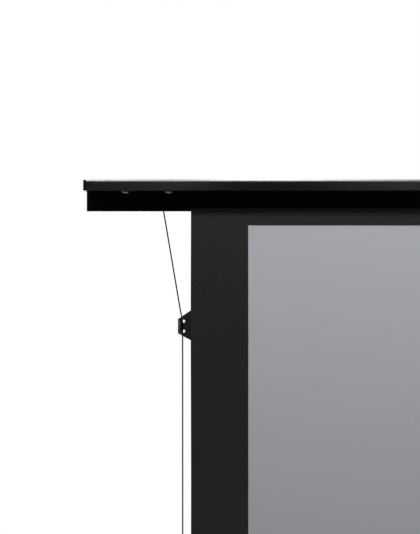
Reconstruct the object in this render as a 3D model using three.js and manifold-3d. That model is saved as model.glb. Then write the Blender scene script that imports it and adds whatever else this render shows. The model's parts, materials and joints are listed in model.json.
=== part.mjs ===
// Pull-up projection screen: 100 inch, 16:9, tab tensioned, lifted on two folding arms.
// Millimetres. +Z is up, -Y is towards the audience, and the origin is on the floor under the
// middle of the housing. The screen is drawn fully raised, with its two feet swung out.

import * as THREE from "three";
import { mergeVertices } from "three/addons/utils/BufferGeometryUtils.js";
import Module from "manifold-3d";

const wasm = await Module();
wasm.setup();

// Driving sizes of the whole screen
const imageWidth = 2214;
const imageHeight = 1245;
const sideBorder = 72;
const topBorder = 18; // black seen between the picture and the beam's lower edge
const endOverhang = 134; // from the fabric's side edge to the lid's end
const housingDepth = 150;
const housingHeight = 125;
const floorClearance = 20;

// Gaps between pieces
const seatGap = 0.3; // between pieces that bear on each other
const pinClearance = 0.35; // round a pin in its bore
const overrun = 5; // how far a cutting tool runs past what it cuts

// Lid and beam
const lidHeight = 14;
const lidWall = 1.6;
const lidTopRadius = 2.5;
const lidBottomRadius = 0.8;
const lidCapThickness = 3.7;
const lidCapProud = 1; // how far a lid cap stands over the lid's top
const beamHeight = 25.5;
const beamWall = 1.6;
const beamEndInset = 4.6; // from the lid's end to the beam's end
const beamPlugThickness = 2.5;
const beamCornerRadius = 1.5;
const spigotLength = 9; // of a cap's or plug's tongue inside a hollow section
const tensionSlotWidth = 6;
const tensionChannelWidth = 11;
const tensionChannelHeight = 3.8;

// Screen cloth
const fabricThickness = 0.35;
const fabricTopHidden = 24.5; // cloth above the beam's lower edge
const seamLap = 8; // the picture sheet's margin behind the black border
const beamBehindFabric = 0.9;
const clampBarHeight = 22.3;
const clampBarThickness = 3;

// Tension tabs and cords
const firstTabDrop = 144; // from the beam's lower edge to the middle of the first tab's tip
const tabPitch = 400;
const lastTabMargin = 200; // least height of the last tab over the housing
const tabReach = 16;
const tabTipLength = 17.8;
const tabUpperFlare = 11;
const tabLowerFlare = 8.8;
const tabWeldWidth = 20; // the tab's margin behind the border
const tabThickness = 0.8;
const tabHoleRadius = 2.2;
const tabHoleSpacing = 12.5;
const tabHoleOffset = 9; // from the cloth's edge to the holes
const cordRadius = 0.65;
const cordOffset = 10.1; // from the cloth's edge to the cord
const cordAnchorOffset = 38.2;
const cordWeaveHalf = 2.6; // half the height in which the cord passes through a hole
const cordTurns = 0.75; // turns of cord on the roller

// Tension adjuster in the lid's slot
const outerScrewInset = 52.6; // from the lid's end
const innerScrewInset = 106.8;
const screwHeadRadius = 5.2;
const screwHeadHeight = 3.5;
const screwShankRadius = 2.4;
const screwEndHidden = 0.6; // how far a screw stops short of the slide's top
const slideLength = 76;
const slideThickness = 3;
const slideInset = 42; // from the lid's end to the slide
const slideSideGap = 0.4;

// Roller
const rollerRadius = 20;
const rollerWall = 1.5;
const rollerStrutGap = 4.6; // room for the cloth that winds up, in front of the struts
const rollerFloorGap = 8; // from the plugs' flanges to the tray's floor
const rollerPastCord = 9; // tube beyond the cord
const grooveWidth = 4;
const grooveDepth = 3;
const woundTurns = 2.25;
const woundPitch = 0.8; // from one turn of cloth to the next
const plugFlangeLip = 5; // of a plug's flange beyond the wound cloth
const plugFlangeThickness = 2;
const plugDepth = 26;
const plugBossRadius = 12;
const shaftRadius = 5;
const shaftLength = 330;
const collarGap = 1.5; // from the shaft's collar to the tube's keyway
const collarLength = 8;
const journalLength = 14;
const springWireRadius = 1.3;
const springTurns = 22;
const bracketThickness = 3;
const bracketStandOff = 6; // from the plug's flange to the bracket
const bracketWidth = 62;
const bracketTopMargin = 18; // bracket above the roller's axis
const bracketFootLength = 26;
const bracketCornerRadius = 10;

// Housing
const trayFloor = 2.5;
const trayWall = 2.2;
const trayUpstand = 12;
const coverWall = 2.2;
const coverLip = 4.2;
const coverLipHeight = 3;
const coverLedge = 4;
const coverBottomRadius = 5;
const coverGrooveDepth = 0.8;
const coverGrooveWidth = 3;
const coverGrooveDrop = 22; // from the cover's top edge to its upper groove
const coverGroovePitch = 9;
const screwPortRadius = 3.8;
const screwPortBore = 1.8;
const screwPortSlit = 1.4;
const lowerPortHeight = 7; // over the tray's underside
const upperPortDrop = 13; // under the cover's top edge
const endCapThickness = 3;
const endCapBottomRadius = 6;
const endCapTopRadius = 2;
const endCapScrewRadius = 2.2;
const endCapSpigotWall = 2;
const endCapSpigotHeight = 60;

// Folding arms
const armLength = 880;
const armLean = (19 * Math.PI) / 180; // from upright, when raised
const armPivotInset = 383; // from the lid's end to an arm's lower pivot
const armPivotHeight = 26; // over the tray's underside
const headDrop = 28; // from the beam's lower edge to an arm's upper pivot
const armThickness = 13;
const armSideGap = 1;
const armRearInset = 11; // from the housing's rear face to the upper arm
const armEndRadius = 17;
const armHeadRadius = 14;
const armPocketDepth = 3.8;
const armPocketMargin = 5;
const armPocketStart = 34; // from a pivot to the end of the pocket
const pinRadius = 6;
const pinHeadRadius = 9;
const pinHeadThickness = 1.2;
const baseCheekThickness = 8;
const baseCheekRadius = 15;
const baseCheekHalfWidth = 34;
const basePlateThickness = 4;
const basePlateEnd = 22; // base plate beyond the strut's stud
const headCheekThickness = 9;
const headCheekHalfWidth = 30;
const headPlateThickness = 4;
const headPlateFront = 60; // from the bracket's rear face to its front edge

// Assist struts
const strutReach = 220; // from an arm's lower pivot to both ends of its strut
const strutRadius = 7.5;
const strutBore = 4.2;
const strutRodRadius = 3.5;
const strutMouthPast = 16; // cylinder beyond the middle of the strut at its longest
const strutRodInside = 10; // rod inside the cylinder at its longest
const strutEyeRadius = 9;
const strutEyeThickness = 11;
const strutNeck = 7; // from an eye's edge to the strut's body, along its axis
const strutArmGap = 2.5;
const studRadius = 4;
const studClipRadius = 6.5;
const studClipThickness = 1.2;
const studUprightThickness = 8;
const studUprightRadius = 11;

// Feet
const footInset = 313; // from the lid's end to a foot's pivot
const footLength = 440;
const footWidth = 46;
const footTipWidth = 34;
const footThickness = 6;
const footPadRadius = 15;
const footPadHeight = 6;
const footBossRadius = 24;
const footBoltRadius = 5;
const footBoltHeadRadius = 10;
const footBoltHeadHeight = 3.6;

// Pull handle
const handleSpan = 150; // between its side arms
const handleReach = 42;
const handleRodRadius = 3;
const handleGripRadius = 6.5;
const handleGripLength = 112;
const handleBend = 9;
const handlePinProud = 2; // of the handle's ends beyond the lugs
const lugThickness = 8;
const lugRadius = 7;
const lugGap = 1; // between a lug and the start of the handle's bend
const mountPlateThickness = 2.5;
const mountPlateWidth = 32;
const mountPlateMargin = 9;
const mountPlateRadius = 5;

// Facets
const cornerSegments = 3;
const roundSegments = 20;
const rollerSegments = 36;
const portSides = 12;
const bendSegments = 4;
const rodSides = 10;
const cordSides = 8;
const springSides = 5;
const springStepsPerTurn = 8;
const wrapStepsPerTurn = 32;
const weldTolerance = 1e-4; // points closer than this are one

// Places worked out from the sizes above
const fabricHalf = imageWidth / 2 + sideBorder;
const lidHalf = fabricHalf + endOverhang;
const housingFront = -housingDepth / 2;
const housingRear = housingDepth / 2;
const trayBottom = floorClearance;
const trayTop = trayBottom + trayFloor;
const housingTop = trayBottom + housingHeight;

const armPivotX = lidHalf - armPivotInset;
const armPivotZ = trayBottom + armPivotHeight;
const headPivotZ = armPivotZ + 2 * armLength * Math.cos(armLean);
const kneeX = armPivotX - armLength * Math.sin(armLean);
const kneeZ = (armPivotZ + headPivotZ) / 2;

const beamBottom = headPivotZ + headDrop;
const lidBottom = beamBottom + beamHeight;
const lidTop = lidBottom + lidHeight;
const pictureTop = beamBottom - topBorder;
const pictureBottom = pictureTop - imageHeight;

const upperArmRear = housingRear - armRearInset;
const upperArmFront = upperArmRear - armThickness;
const lowerArmRear = upperArmFront - armSideGap;
const lowerArmFront = lowerArmRear - armThickness;
const strutY = lowerArmFront - strutArmGap - strutRadius;
const strutLean = Math.PI / 4 + armLean / 2; // a strut turns half as fast as its arm
const strutBaseX = armPivotX + strutReach;
const strutCylinderLength = strutReach + strutMouthPast;
const strutRodLength = 2 * strutReach - strutCylinderLength + strutRodInside;

// The roller stands in front of the struts, and the cloth rises from its front
const woundOuterRadius = rollerRadius + seatGap + fabricThickness + woundTurns * woundPitch;
const keywayRadius = rollerRadius - rollerWall - grooveDepth; // clear of the groove's pocket
const plugFlangeRadius = woundOuterRadius + plugFlangeLip;
const rollerY = strutY - strutRadius - rollerStrutGap - woundOuterRadius;
const rollerZ = trayTop + rollerFloorGap + plugFlangeRadius;
const fabricFront = rollerY - woundOuterRadius;
const fabricRear = fabricFront + fabricThickness;
const beamFront = fabricRear + beamBehindFabric;
const beamRear = upperArmFront - armSideGap / 2;
const cordX = fabricHalf + cordOffset;
const rollerHalf = cordX + rollerPastCord;
const tabsBelowFirst = (beamBottom - firstTabDrop - lastTabMargin - housingTop) / tabPitch;
const tabCount = Math.floor(tabsBelowFirst) + 1;

// Materials
const finish = (color, roughness, metalness) =>
  new THREE.MeshStandardMaterial({ color, roughness, metalness });
const blackAnodised = finish(0x1f1f22, 0.38, 0.6);
const blackPlastic = finish(0x161617, 0.5, 0);
const borderCloth = finish(0x2a2a2c, 0.8, 0);
const pictureCloth = finish(0xa4a6aa, 0.75, 0);
const zincSteel = finish(0x9a9a98, 0.35, 0.9);
const blackSteel = finish(0x242426, 0.45, 0.5);
const springSteel = finish(0x6c6e70, 0.3, 0.9);
const millAluminium = finish(0xb4b6b8, 0.35, 0.9);
const cordBlack = finish(0x1c1c1e, 0.7, 0);
const blackRubber = finish(0x141414, 0.85, 0);

const model = new THREE.Group();

// The paired pieces are drawn once, with +X outboard. The left side is the right one mirrored.
const rightSide = new THREE.Group();
const leftSide = new THREE.Group();
leftSide.scale.x = -1;
model.add(rightSide, leftSide);

function add(name, geometry, material, parent = model) {
  const mesh = new THREE.Mesh(geometry, material);
  mesh.name = name;
  parent.add(mesh);
  return mesh;
}

// Solids from geometry, and back
function solid(geometry) {
  const bare = new THREE.BufferGeometry();
  const source = geometry.index ? geometry.toNonIndexed() : geometry;
  bare.setAttribute("position", source.getAttribute("position"));
  const merged = mergeVertices(bare, weldTolerance);
  return new wasm.Manifold(
    new wasm.Mesh({
      numProp: 3,
      vertProperties: merged.getAttribute("position").array,
      triVerts: new Uint32Array(merged.index.array),
    }),
  );
}

function geometryOf(body) {
  const mesh = body.getMesh();
  const geometry = new THREE.BufferGeometry();
  geometry.setAttribute("position", new THREE.BufferAttribute(mesh.vertProperties, 3));
  geometry.setIndex(new THREE.BufferAttribute(mesh.triVerts, 1));
  const flat = geometry.toNonIndexed();
  flat.computeVertexNormals();
  return flat;
}

const join = (...pieces) => geometryOf(pieces.map(solid).reduce((a, b) => a.add(b)));
const cut = (piece, ...tools) =>
  geometryOf(tools.map(solid).reduce((a, b) => a.subtract(b), solid(piece)));

// Profiles
const unitX = new THREE.Vector3(1, 0, 0);
const unitY = new THREE.Vector3(0, 1, 0);
const unitZ = new THREE.Vector3(0, 0, 1);
const alongX = new THREE.Matrix4().makeBasis(unitY, unitZ, unitX);
const alongMinusY = new THREE.Matrix4().makeBasis(unitX, unitZ, unitY.clone().negate());

function outline(points) {
  return new THREE.Shape(points.map(([u, v]) => new THREE.Vector2(u, v)));
}

// A rectangle whose four corner radii are given as [low u low v, high u low v, high u high v, low u high v]
function rectangle(u0, v0, u1, v1, radii = [0, 0, 0, 0]) {
  const shape = new THREE.Shape();
  const [a, b, c, d] = radii;
  const corner = (u, v, r, start) => {
    if (r > 0) shape.absarc(u, v, r, start, start + Math.PI / 2, false);
    else shape.lineTo(u, v);
  };
  shape.moveTo(u0 + a, v0);
  corner(u1 - b, v0 + b, b, -Math.PI / 2);
  corner(u1 - c, v1 - c, c, 0);
  corner(u0 + d, v1 - d, d, Math.PI / 2);
  corner(u0 + a, v0 + a, a, Math.PI);
  return shape;
}

const evenRadii = (r) => [r, r, r, r];

function circle(u, v, r, Kind = THREE.Path, sides = roundSegments) {
  const points = Array.from({ length: sides }, (_, i) => {
    const angle = (2 * Math.PI * i) / sides;
    return new THREE.Vector2(u + r * Math.cos(angle), v + r * Math.sin(angle));
  });
  return new Kind(points);
}

function extrude(shape, length, segments = cornerSegments) {
  const body = new THREE.Shape(shape.getPoints(segments));
  const settings = { depth: length, bevelEnabled: false };
  const tools = (shape.holes ?? []).map((hole) =>
    new THREE.ExtrudeGeometry(new THREE.Shape(hole.getPoints(segments)), {
      ...settings,
      depth: length + 2 * overrun,
    }).translate(0, 0, -overrun),
  );
  const full = new THREE.ExtrudeGeometry(body, settings);
  return tools.length ? cut(full, ...tools) : full;
}

// A profile drawn in Y and Z, swept along X from x0 to x1
function sweepX(shape, x0, x1, segments) {
  return extrude(shape, x1 - x0, segments).applyMatrix4(alongX).translate(x0, 0, 0);
}

// A plate drawn in X and Z, between y0 and y1
function plateY(shape, y0, y1, segments) {
  return extrude(shape, y1 - y0, segments).applyMatrix4(alongMinusY).translate(0, y1, 0);
}

// A plate drawn in X and Y, between z0 and z1
function plateZ(shape, z0, z1, segments) {
  return extrude(shape, z1 - z0, segments).translate(0, 0, z0);
}

const block = (x0, x1, y0, y1, z0, z1) => plateZ(rectangle(x0, y0, x1, y1), z0, z1);

// Turned pieces: each profile point is [radius, distance along the axis]
function turn(points, segments = roundSegments) {
  return new THREE.LatheGeometry(
    points.map(([r, h]) => new THREE.Vector2(r, h)),
    segments,
  );
}
const turnX = (points, segments) => turn(points, segments).rotateZ(-Math.PI / 2);
const turnY = (points, segments) => turn(points, segments);
const turnZ = (points, segments) => turn(points, segments).rotateX(Math.PI / 2);
const rod = (r, h0, h1) => [[0, h0], [r, h0], [r, h1], [0, h1]];

// Prints how near a wound form comes to itself. The points follow its middle line, and those within
// half a turn of each other aren't compared.
function printLeastGap(name, points, thickness, stepsPerTurn) {
  let least = Infinity;
  points.forEach((point, i) =>
    points.slice(i + Math.ceil(stepsPerTurn / 2)).forEach((other) => {
      least = Math.min(least, point.distanceTo(other) - thickness);
    }),
  );
  console.log(`${name}: least gap to itself ${least.toFixed(2)} mm`);
}

// A round bar of the given radius through a list of points, with flat ends
const steepShare = 0.9; // a start nearer than this to Y takes X as its reference

function bar(points, radius, sides) {
  const position = [];
  const ring = [];
  const tangentAt = (i) =>
    new THREE.Vector3()
      .subVectors(points[Math.min(i + 1, points.length - 1)], points[Math.max(i - 1, 0)])
      .normalize();
  const start = tangentAt(0);
  const reference = Math.abs(start.y) < steepShare ? unitY : unitX;
  let normal = new THREE.Vector3().crossVectors(start, reference).normalize();
  points.forEach((point, i) => {
    const tangent = tangentAt(i);
    normal = normal.clone().addScaledVector(tangent, -normal.dot(tangent)).normalize();
    const across = new THREE.Vector3().crossVectors(tangent, normal);
    ring.push(
      Array.from({ length: sides }, (_, k) => {
        const turned = (2 * Math.PI * k) / sides;
        return point
          .clone()
          .addScaledVector(normal, radius * Math.cos(turned))
          .addScaledVector(across, radius * Math.sin(turned));
      }),
    );
  });
  const face = (...corners) => corners.forEach((c) => position.push(c.x, c.y, c.z));
  for (let i = 0; i + 1 < ring.length; i++) {
    for (let k = 0; k < sides; k++) {
      const next = (k + 1) % sides;
      face(ring[i][k], ring[i][next], ring[i + 1][next]);
      face(ring[i][k], ring[i + 1][next], ring[i + 1][k]);
    }
  }
  const first = ring[0];
  const last = ring[ring.length - 1];
  for (let k = 1; k + 1 < sides; k++) {
    face(first[0], first[k + 1], first[k]);
    face(last[0], last[k], last[k + 1]);
  }
  const geometry = new THREE.BufferGeometry();
  geometry.setAttribute("position", new THREE.Float32BufferAttribute(position, 3));
  geometry.computeVertexNormals();
  return geometry;
}

// Housing: a tray, two clip-on covers and two end caps
const coverRearFace = coverWall; // measured from the housing's outer face
const trayHalfDepth = housingDepth / 2 - coverWall - seatGap;
const housingHalf = lidHalf - endCapThickness - seatGap;

// A three-quarter ring that an end cap's screw bites into, opening away from its wall
function screwPort(y, z) {
  const ring = circle(y, z, screwPortRadius, THREE.Shape, portSides);
  ring.holes.push(circle(y, z, screwPortBore, THREE.Path, portSides));
  return ring;
}

function screwPorts(y, z, inward) {
  const slit = rectangle(
    Math.min(y, y + inward * (screwPortRadius + overrun)),
    z - screwPortSlit / 2,
    Math.max(y, y + inward * (screwPortRadius + overrun)),
    z + screwPortSlit / 2,
  );
  return cut(
    sweepX(screwPort(y, z), -housingHalf, housingHalf),
    sweepX(slit, -housingHalf - overrun, housingHalf + overrun),
  );
}

function baseTray() {
  const foot = trayHalfDepth;
  const inner = trayHalfDepth - trayWall;
  const wallTop = trayBottom + trayUpstand;
  const section = outline([
    [-foot, trayBottom],
    [foot, trayBottom],
    [foot, wallTop],
    [inner, wallTop],
    [inner, trayTop],
    [-inner, trayTop],
    [-inner, wallTop],
    [-foot, wallTop],
  ]);
  const portY = inner - screwPortRadius / 2;
  const portZ = trayBottom + lowerPortHeight;
  const floor = join(
    sweepX(section, -housingHalf, housingHalf),
    screwPorts(-portY, portZ, 1),
    screwPorts(portY, portZ, -1),
  );
  const boltHole = turnZ(
    rod(footBoltRadius + pinClearance, trayBottom - overrun, trayTop + overrun),
  );
  const footX = lidHalf - footInset;
  return cut(floor, boltHole.clone().translate(-footX, 0, 0), boltHole.translate(footX, 0, 0));
}

// The front cover's section, drawn at its outer face: u runs inwards and v upwards
function coverSection() {
  const ledge = trayBottom + trayUpstand + seatGap;
  const groove = (v) => [
    [0, v + coverGrooveWidth / 2],
    [coverGrooveDepth, v],
    [0, v - coverGrooveWidth / 2],
  ];
  const upper = housingTop - coverGrooveDrop;
  const corner = coverBottomRadius * (1 - Math.SQRT1_2); // the middle of the lower edge's rounding
  return [
    [corner, trayBottom + corner],
    [coverRearFace, trayBottom],
    [coverRearFace, ledge],
    [coverRearFace + coverLedge, ledge],
    [coverRearFace + coverLedge, ledge + coverWall],
    [coverRearFace, ledge + coverWall * 2],
    [coverRearFace, housingTop - coverLipHeight],
    [coverLip, housingTop - coverLipHeight],
    [coverLip, housingTop],
    [0, housingTop],
    ...groove(upper),
    ...groove(upper - coverGroovePitch),
    [0, trayBottom + coverBottomRadius],
  ];
}

function cover(facing) {
  const section = outline(coverSection().map(([u, v]) => [facing * (housingDepth / 2 - u), v]));
  const portY = facing * (housingDepth / 2 - coverWall - screwPortRadius / 2);
  return join(
    sweepX(section, -housingHalf, housingHalf),
    screwPorts(portY, housingTop - upperPortDrop, -facing),
  );
}

function endCap() {
  const inner = lidHalf - endCapThickness;
  const plate = rectangle(housingFront, trayBottom, housingRear, housingTop, [
    endCapBottomRadius,
    endCapBottomRadius,
    endCapTopRadius,
    endCapTopRadius,
  ]);
  const portDepth = trayHalfDepth - trayWall - screwPortRadius / 2;
  const coverPortDepth = housingDepth / 2 - coverWall - screwPortRadius / 2;
  for (const facing of [-1, 1]) {
    plate.holes.push(circle(facing * portDepth, trayBottom + lowerPortHeight, endCapScrewRadius));
    plate.holes.push(circle(facing * coverPortDepth, housingTop - upperPortDrop, endCapScrewRadius));
  }
  const rail = portDepth - screwPortRadius - seatGap - endCapSpigotWall;
  const spigotZ = trayTop + seatGap;
  const spigot = outline([
    [-rail - endCapSpigotWall, spigotZ],
    [rail + endCapSpigotWall, spigotZ],
    [rail + endCapSpigotWall, spigotZ + endCapSpigotHeight],
    [rail, spigotZ + endCapSpigotHeight],
    [rail, spigotZ + endCapSpigotWall],
    [-rail, spigotZ + endCapSpigotWall],
    [-rail, spigotZ + endCapSpigotHeight],
    [-rail - endCapSpigotWall, spigotZ + endCapSpigotHeight],
  ]);
  return join(
    sweepX(plate, inner, lidHalf),
    sweepX(spigot, inner - spigotLength, inner + endCapThickness / 2),
  );
}

add("base_tray", baseTray(), blackAnodised);
add("front_cover", cover(-1), blackAnodised);
add("rear_cover", cover(1), blackAnodised);

// Lid: a flat hollow section with a slot along its underside for the tension adjusters
const slotY = (housingFront + fabricFront) / 2;
const lidBodyHalf = lidHalf - lidCapThickness - seatGap;
const channelTop = lidBottom + lidWall + tensionChannelHeight;

function lidChambers(shrink = 0) {
  const low = lidBottom + lidWall + shrink;
  const high = lidTop - lidWall - shrink;
  const channelHalf = tensionChannelWidth / 2 + lidWall + shrink;
  const web = lidWall / 2 + shrink;
  return [
    [housingFront + lidWall + shrink, slotY - channelHalf],
    [slotY + channelHalf, -web],
    [web, housingRear / 2 - web],
    [housingRear / 2 + web, housingRear - lidWall - shrink],
  ].map(([u0, u1]) => rectangle(u0, low, u1, high));
}

function lid() {
  const slot = tensionSlotWidth / 2;
  const channel = tensionChannelWidth / 2;
  const shape = rectangle(housingFront, lidBottom, housingRear, lidTop, [
    lidBottomRadius,
    lidBottomRadius,
    lidTopRadius,
    lidTopRadius,
  ]);
  shape.holes.push(...lidChambers());
  const tee = outline([
    [slotY - slot, lidBottom - overrun],
    [slotY + slot, lidBottom - overrun],
    [slotY + slot, lidBottom + lidWall],
    [slotY + channel, lidBottom + lidWall],
    [slotY + channel, channelTop],
    [slotY - channel, channelTop],
    [slotY - channel, lidBottom + lidWall],
    [slotY - slot, lidBottom + lidWall],
  ]);
  return cut(
    sweepX(shape, -lidBodyHalf, lidBodyHalf),
    sweepX(tee, -lidBodyHalf - overrun, lidBodyHalf + overrun),
  );
}

function lidCap() {
  const inner = lidHalf - lidCapThickness;
  const plate = rectangle(
    housingFront,
    lidBottom,
    housingRear,
    lidTop + lidCapProud,
    [lidBottomRadius, lidBottomRadius, lidTopRadius, lidTopRadius],
  );
  const tongues = lidChambers(seatGap).map((shape) =>
    sweepX(shape, inner - spigotLength, inner + lidCapThickness / 2),
  );
  return join(sweepX(plate, inner, lidHalf), ...tongues);
}

add("lid", lid(), blackAnodised);

// Beam: the hollow bar under the lid that carries the cloth and the arms
const beamHalf = lidHalf - beamEndInset - beamPlugThickness - seatGap;
const beamTop = lidBottom - seatGap;

function beamChambers(shrink = 0) {
  const low = beamBottom + beamWall + shrink;
  const high = beamTop - beamWall - shrink;
  const middle = (beamFront + beamRear) / 2;
  const web = beamWall / 2 + shrink;
  return [
    rectangle(beamFront + beamWall + shrink, low, middle - web, high),
    rectangle(middle + web, low, beamRear - beamWall - shrink, high),
  ];
}

const beamOutline = () =>
  rectangle(beamFront, beamBottom, beamRear, beamTop, [beamCornerRadius, beamCornerRadius, 0, 0]);

function topBeam() {
  const shape = beamOutline();
  shape.holes.push(...beamChambers());
  return sweepX(shape, -beamHalf, beamHalf);
}

function beamPlug() {
  const inner = beamHalf + seatGap;
  const tongues = beamChambers(seatGap).map((shape) =>
    sweepX(shape, inner - spigotLength, inner + beamPlugThickness / 2),
  );
  return join(sweepX(beamOutline(), inner, inner + beamPlugThickness), ...tongues);
}

add("top_beam", topBeam(), blackAnodised);

const clampBarTop = lidBottom - seatGap;
add(
  "fabric_clamp_bar",
  sweepX(
    rectangle(
      fabricFront - seatGap - clampBarThickness,
      clampBarTop - clampBarHeight,
      fabricFront - seatGap,
      clampBarTop,
    ),
    -fabricHalf,
    fabricHalf,
  ),
  blackAnodised,
);

// Cloth: a black border with a window, and the grey picture sheet welded behind it
const fabricTop = beamBottom + fabricTopHidden;

function blackBorder() {
  const sheet = rectangle(-fabricHalf, rollerZ, fabricHalf, fabricTop);
  sheet.holes.push(rectangle(-imageWidth / 2, pictureBottom, imageWidth / 2, pictureTop));
  return plateY(sheet, fabricFront, fabricRear);
}

function pictureSheet() {
  const sheet = rectangle(
    -imageWidth / 2 - seamLap,
    pictureBottom - seamLap,
    imageWidth / 2 + seamLap,
    pictureTop + seamLap,
  );
  return plateY(sheet, fabricRear + seatGap, fabricRear + seatGap + fabricThickness);
}

add("black_border", blackBorder(), borderCloth);
add("picture_sheet", pictureSheet(), pictureCloth);

// Cloth left on the roller: a spiral band whose outer end runs up into the flat sheet
function woundFabric() {
  const steps = Math.round(woundTurns * rollerSegments);
  const inner = rollerRadius + seatGap;
  const sheetAngle = Math.PI + seatGap / woundOuterRadius; // just under the flat sheet's end
  const band = (offset) =>
    Array.from({ length: steps + 1 }, (_, i) => {
      const turned = (i / steps) * woundTurns;
      const angle = sheetAngle + 2 * Math.PI * (woundTurns - turned);
      const r = inner + turned * woundPitch + offset;
      return [rollerY + r * Math.cos(angle), rollerZ + r * Math.sin(angle)];
    });
  const middle = band(fabricThickness / 2).map(([y, z]) => new THREE.Vector3(0, y, z));
  printLeastGap("wound_fabric", middle, fabricThickness, rollerSegments);
  const spiral = outline([...band(0), ...band(fabricThickness).reverse()]);
  return sweepX(spiral, -fabricHalf, fabricHalf, 1);
}

// Roller: a keyed tube on two end plugs, with a spring round a fixed shaft in its right end
const roller = new THREE.Group();
roller.position.set(0, rollerY, rollerZ);
model.add(roller);

function rollerTube() {
  const tube = circle(0, 0, rollerRadius, THREE.Shape, rollerSegments);
  tube.holes.push(circle(0, 0, rollerRadius - rollerWall, THREE.Path, rollerSegments));
  const pocketDepth = grooveDepth + rollerWall;
  const pocket = rectangle(
    -grooveWidth / 2 - rollerWall,
    rollerRadius - pocketDepth,
    grooveWidth / 2 + rollerWall,
    rollerRadius - rollerWall / 2,
  );
  const groove = rectangle(
    -grooveWidth / 2,
    rollerRadius - grooveDepth,
    grooveWidth / 2,
    rollerRadius + overrun,
  );
  return cut(
    join(
      sweepX(tube, -rollerHalf, rollerHalf),
      sweepX(pocket, -rollerHalf, rollerHalf),
    ),
    sweepX(groove, -rollerHalf - overrun, rollerHalf + overrun),
  );
}

const plugBodyRadius = keywayRadius - seatGap;
const collarRadius = keywayRadius - collarGap;
const springRadius = (shaftRadius + keywayRadius) / 2;
const flangeInner = rollerHalf + seatGap;
const flangeOuter = flangeInner + plugFlangeThickness;

// Both plugs are drawn for the right end
function idlePlug() {
  const journalEnd = flangeOuter + journalLength;
  return turnX([
    [0, flangeInner - plugDepth],
    [plugBodyRadius, flangeInner - plugDepth],
    [plugBodyRadius, flangeInner],
    [plugFlangeRadius, flangeInner],
    [plugFlangeRadius, flangeOuter],
    [plugBossRadius, flangeOuter],
    [shaftRadius, flangeOuter + plugFlangeThickness],
    [shaftRadius, journalEnd],
    [0, journalEnd],
  ]);
}

function springPlug() {
  const bore = shaftRadius + pinClearance;
  return turnX([
    [bore, flangeInner - plugDepth],
    [plugBodyRadius, flangeInner - plugDepth],
    [plugBodyRadius, flangeInner],
    [plugFlangeRadius, flangeInner],
    [plugFlangeRadius, flangeOuter],
    [bore, flangeOuter],
    [bore, flangeInner - plugDepth],
  ]);
}

const shaftOuter = flangeOuter + journalLength;
const shaftInner = shaftOuter - shaftLength;
const springOuter = flangeInner - plugDepth - springWireRadius - seatGap;
const springInner = shaftInner + collarLength + springWireRadius + seatGap;

function springShaft() {
  return turnX([
    [0, shaftInner],
    [collarRadius, shaftInner],
    [collarRadius, shaftInner + collarLength],
    [shaftRadius, shaftInner + collarLength],
    [shaftRadius, shaftOuter],
    [0, shaftOuter],
  ]);
}

function rollerSpring() {
  const steps = springTurns * springStepsPerTurn;
  const points = Array.from({ length: steps + 1 }, (_, i) => {
    const share = i / steps;
    const angle = 2 * Math.PI * springTurns * share;
    return new THREE.Vector3(
      springInner + (springOuter - springInner) * share,
      springRadius * Math.cos(angle),
      springRadius * Math.sin(angle),
    );
  });
  printLeastGap("roller_spring", points, 2 * springWireRadius, springStepsPerTurn);
  return bar(points, springWireRadius, springSides);
}

add("roller_tube", rollerTube(), millAluminium, roller);
add("spring_plug", springPlug(), blackPlastic, roller);
add("idle_plug", idlePlug(), blackPlastic, roller).scale.x = -1;
add("spring_shaft", springShaft(), zincSteel, roller);
add("roller_spring", rollerSpring(), springSteel, roller);
add("wound_fabric", woundFabric(), borderCloth);

function rollerBracket() {
  const inner = flangeOuter + bracketStandOff;
  const outer = inner + bracketThickness;
  const foot = trayTop + seatGap;
  const plate = rectangle(
    rollerY - bracketWidth / 2,
    foot,
    rollerY + bracketWidth / 2,
    rollerZ + bracketTopMargin,
    [0, 0, bracketCornerRadius, bracketCornerRadius],
  );
  plate.holes.push(circle(rollerY, rollerZ, shaftRadius + pinClearance));
  const flange = block(
    inner,
    outer + bracketFootLength,
    rollerY - bracketWidth / 2,
    rollerY + bracketWidth / 2,
    foot,
    foot + bracketThickness,
  );
  return join(sweepX(plate, inner, outer), flange);
}

// Arms: each is drawn upright on its lower pivot, and leaned over by its group
function armPlate(length, lowRadius, highRadius, y0, y1) {
  const tilt = Math.asin((lowRadius - highRadius) / length);
  const body = new THREE.Shape();
  body.absarc(0, 0, lowRadius, Math.PI - tilt, 2 * Math.PI + tilt, false);
  body.absarc(0, length, highRadius, tilt, Math.PI - tilt, false);
  body.holes.push(circle(0, 0, pinRadius + pinClearance), circle(0, length, pinRadius + pinClearance));
  const low = lowRadius - armPocketMargin;
  const high = highRadius - armPocketMargin;
  const pocket = outline([
    [-low, armPocketStart],
    [low, armPocketStart],
    [high, length - armPocketStart],
    [-high, length - armPocketStart],
  ]);
  return cut(
    plateY(body, y0, y1, roundSegments / 4),
    plateY(pocket, y0 - overrun, y0 + armPocketDepth),
    plateY(pocket, y1 - armPocketDepth, y1 + overrun),
  );
}

function pin(front, rear) {
  return turnY([
    [0, front - seatGap - pinHeadThickness],
    [pinHeadRadius, front - seatGap - pinHeadThickness],
    [pinHeadRadius, front - seatGap],
    [pinRadius, front - seatGap],
    [pinRadius, rear + seatGap],
    [pinHeadRadius, rear + seatGap],
    [pinHeadRadius, rear + seatGap + pinHeadThickness],
    [0, rear + seatGap + pinHeadThickness],
  ]);
}

// A stud that carries a strut's eye, from the face at y towards the front
function strutStud(y) {
  const clip = strutY - strutEyeThickness / 2 - seatGap;
  return turnY([
    [0, clip - studClipThickness],
    [studClipRadius, clip - studClipThickness],
    [studClipRadius, clip],
    [studRadius, clip],
    [studRadius, y],
    [0, y],
  ]);
}

const baseCheekFront = lowerArmRear + armSideGap / 2;
const baseCheekRear = baseCheekFront + baseCheekThickness;

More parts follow.
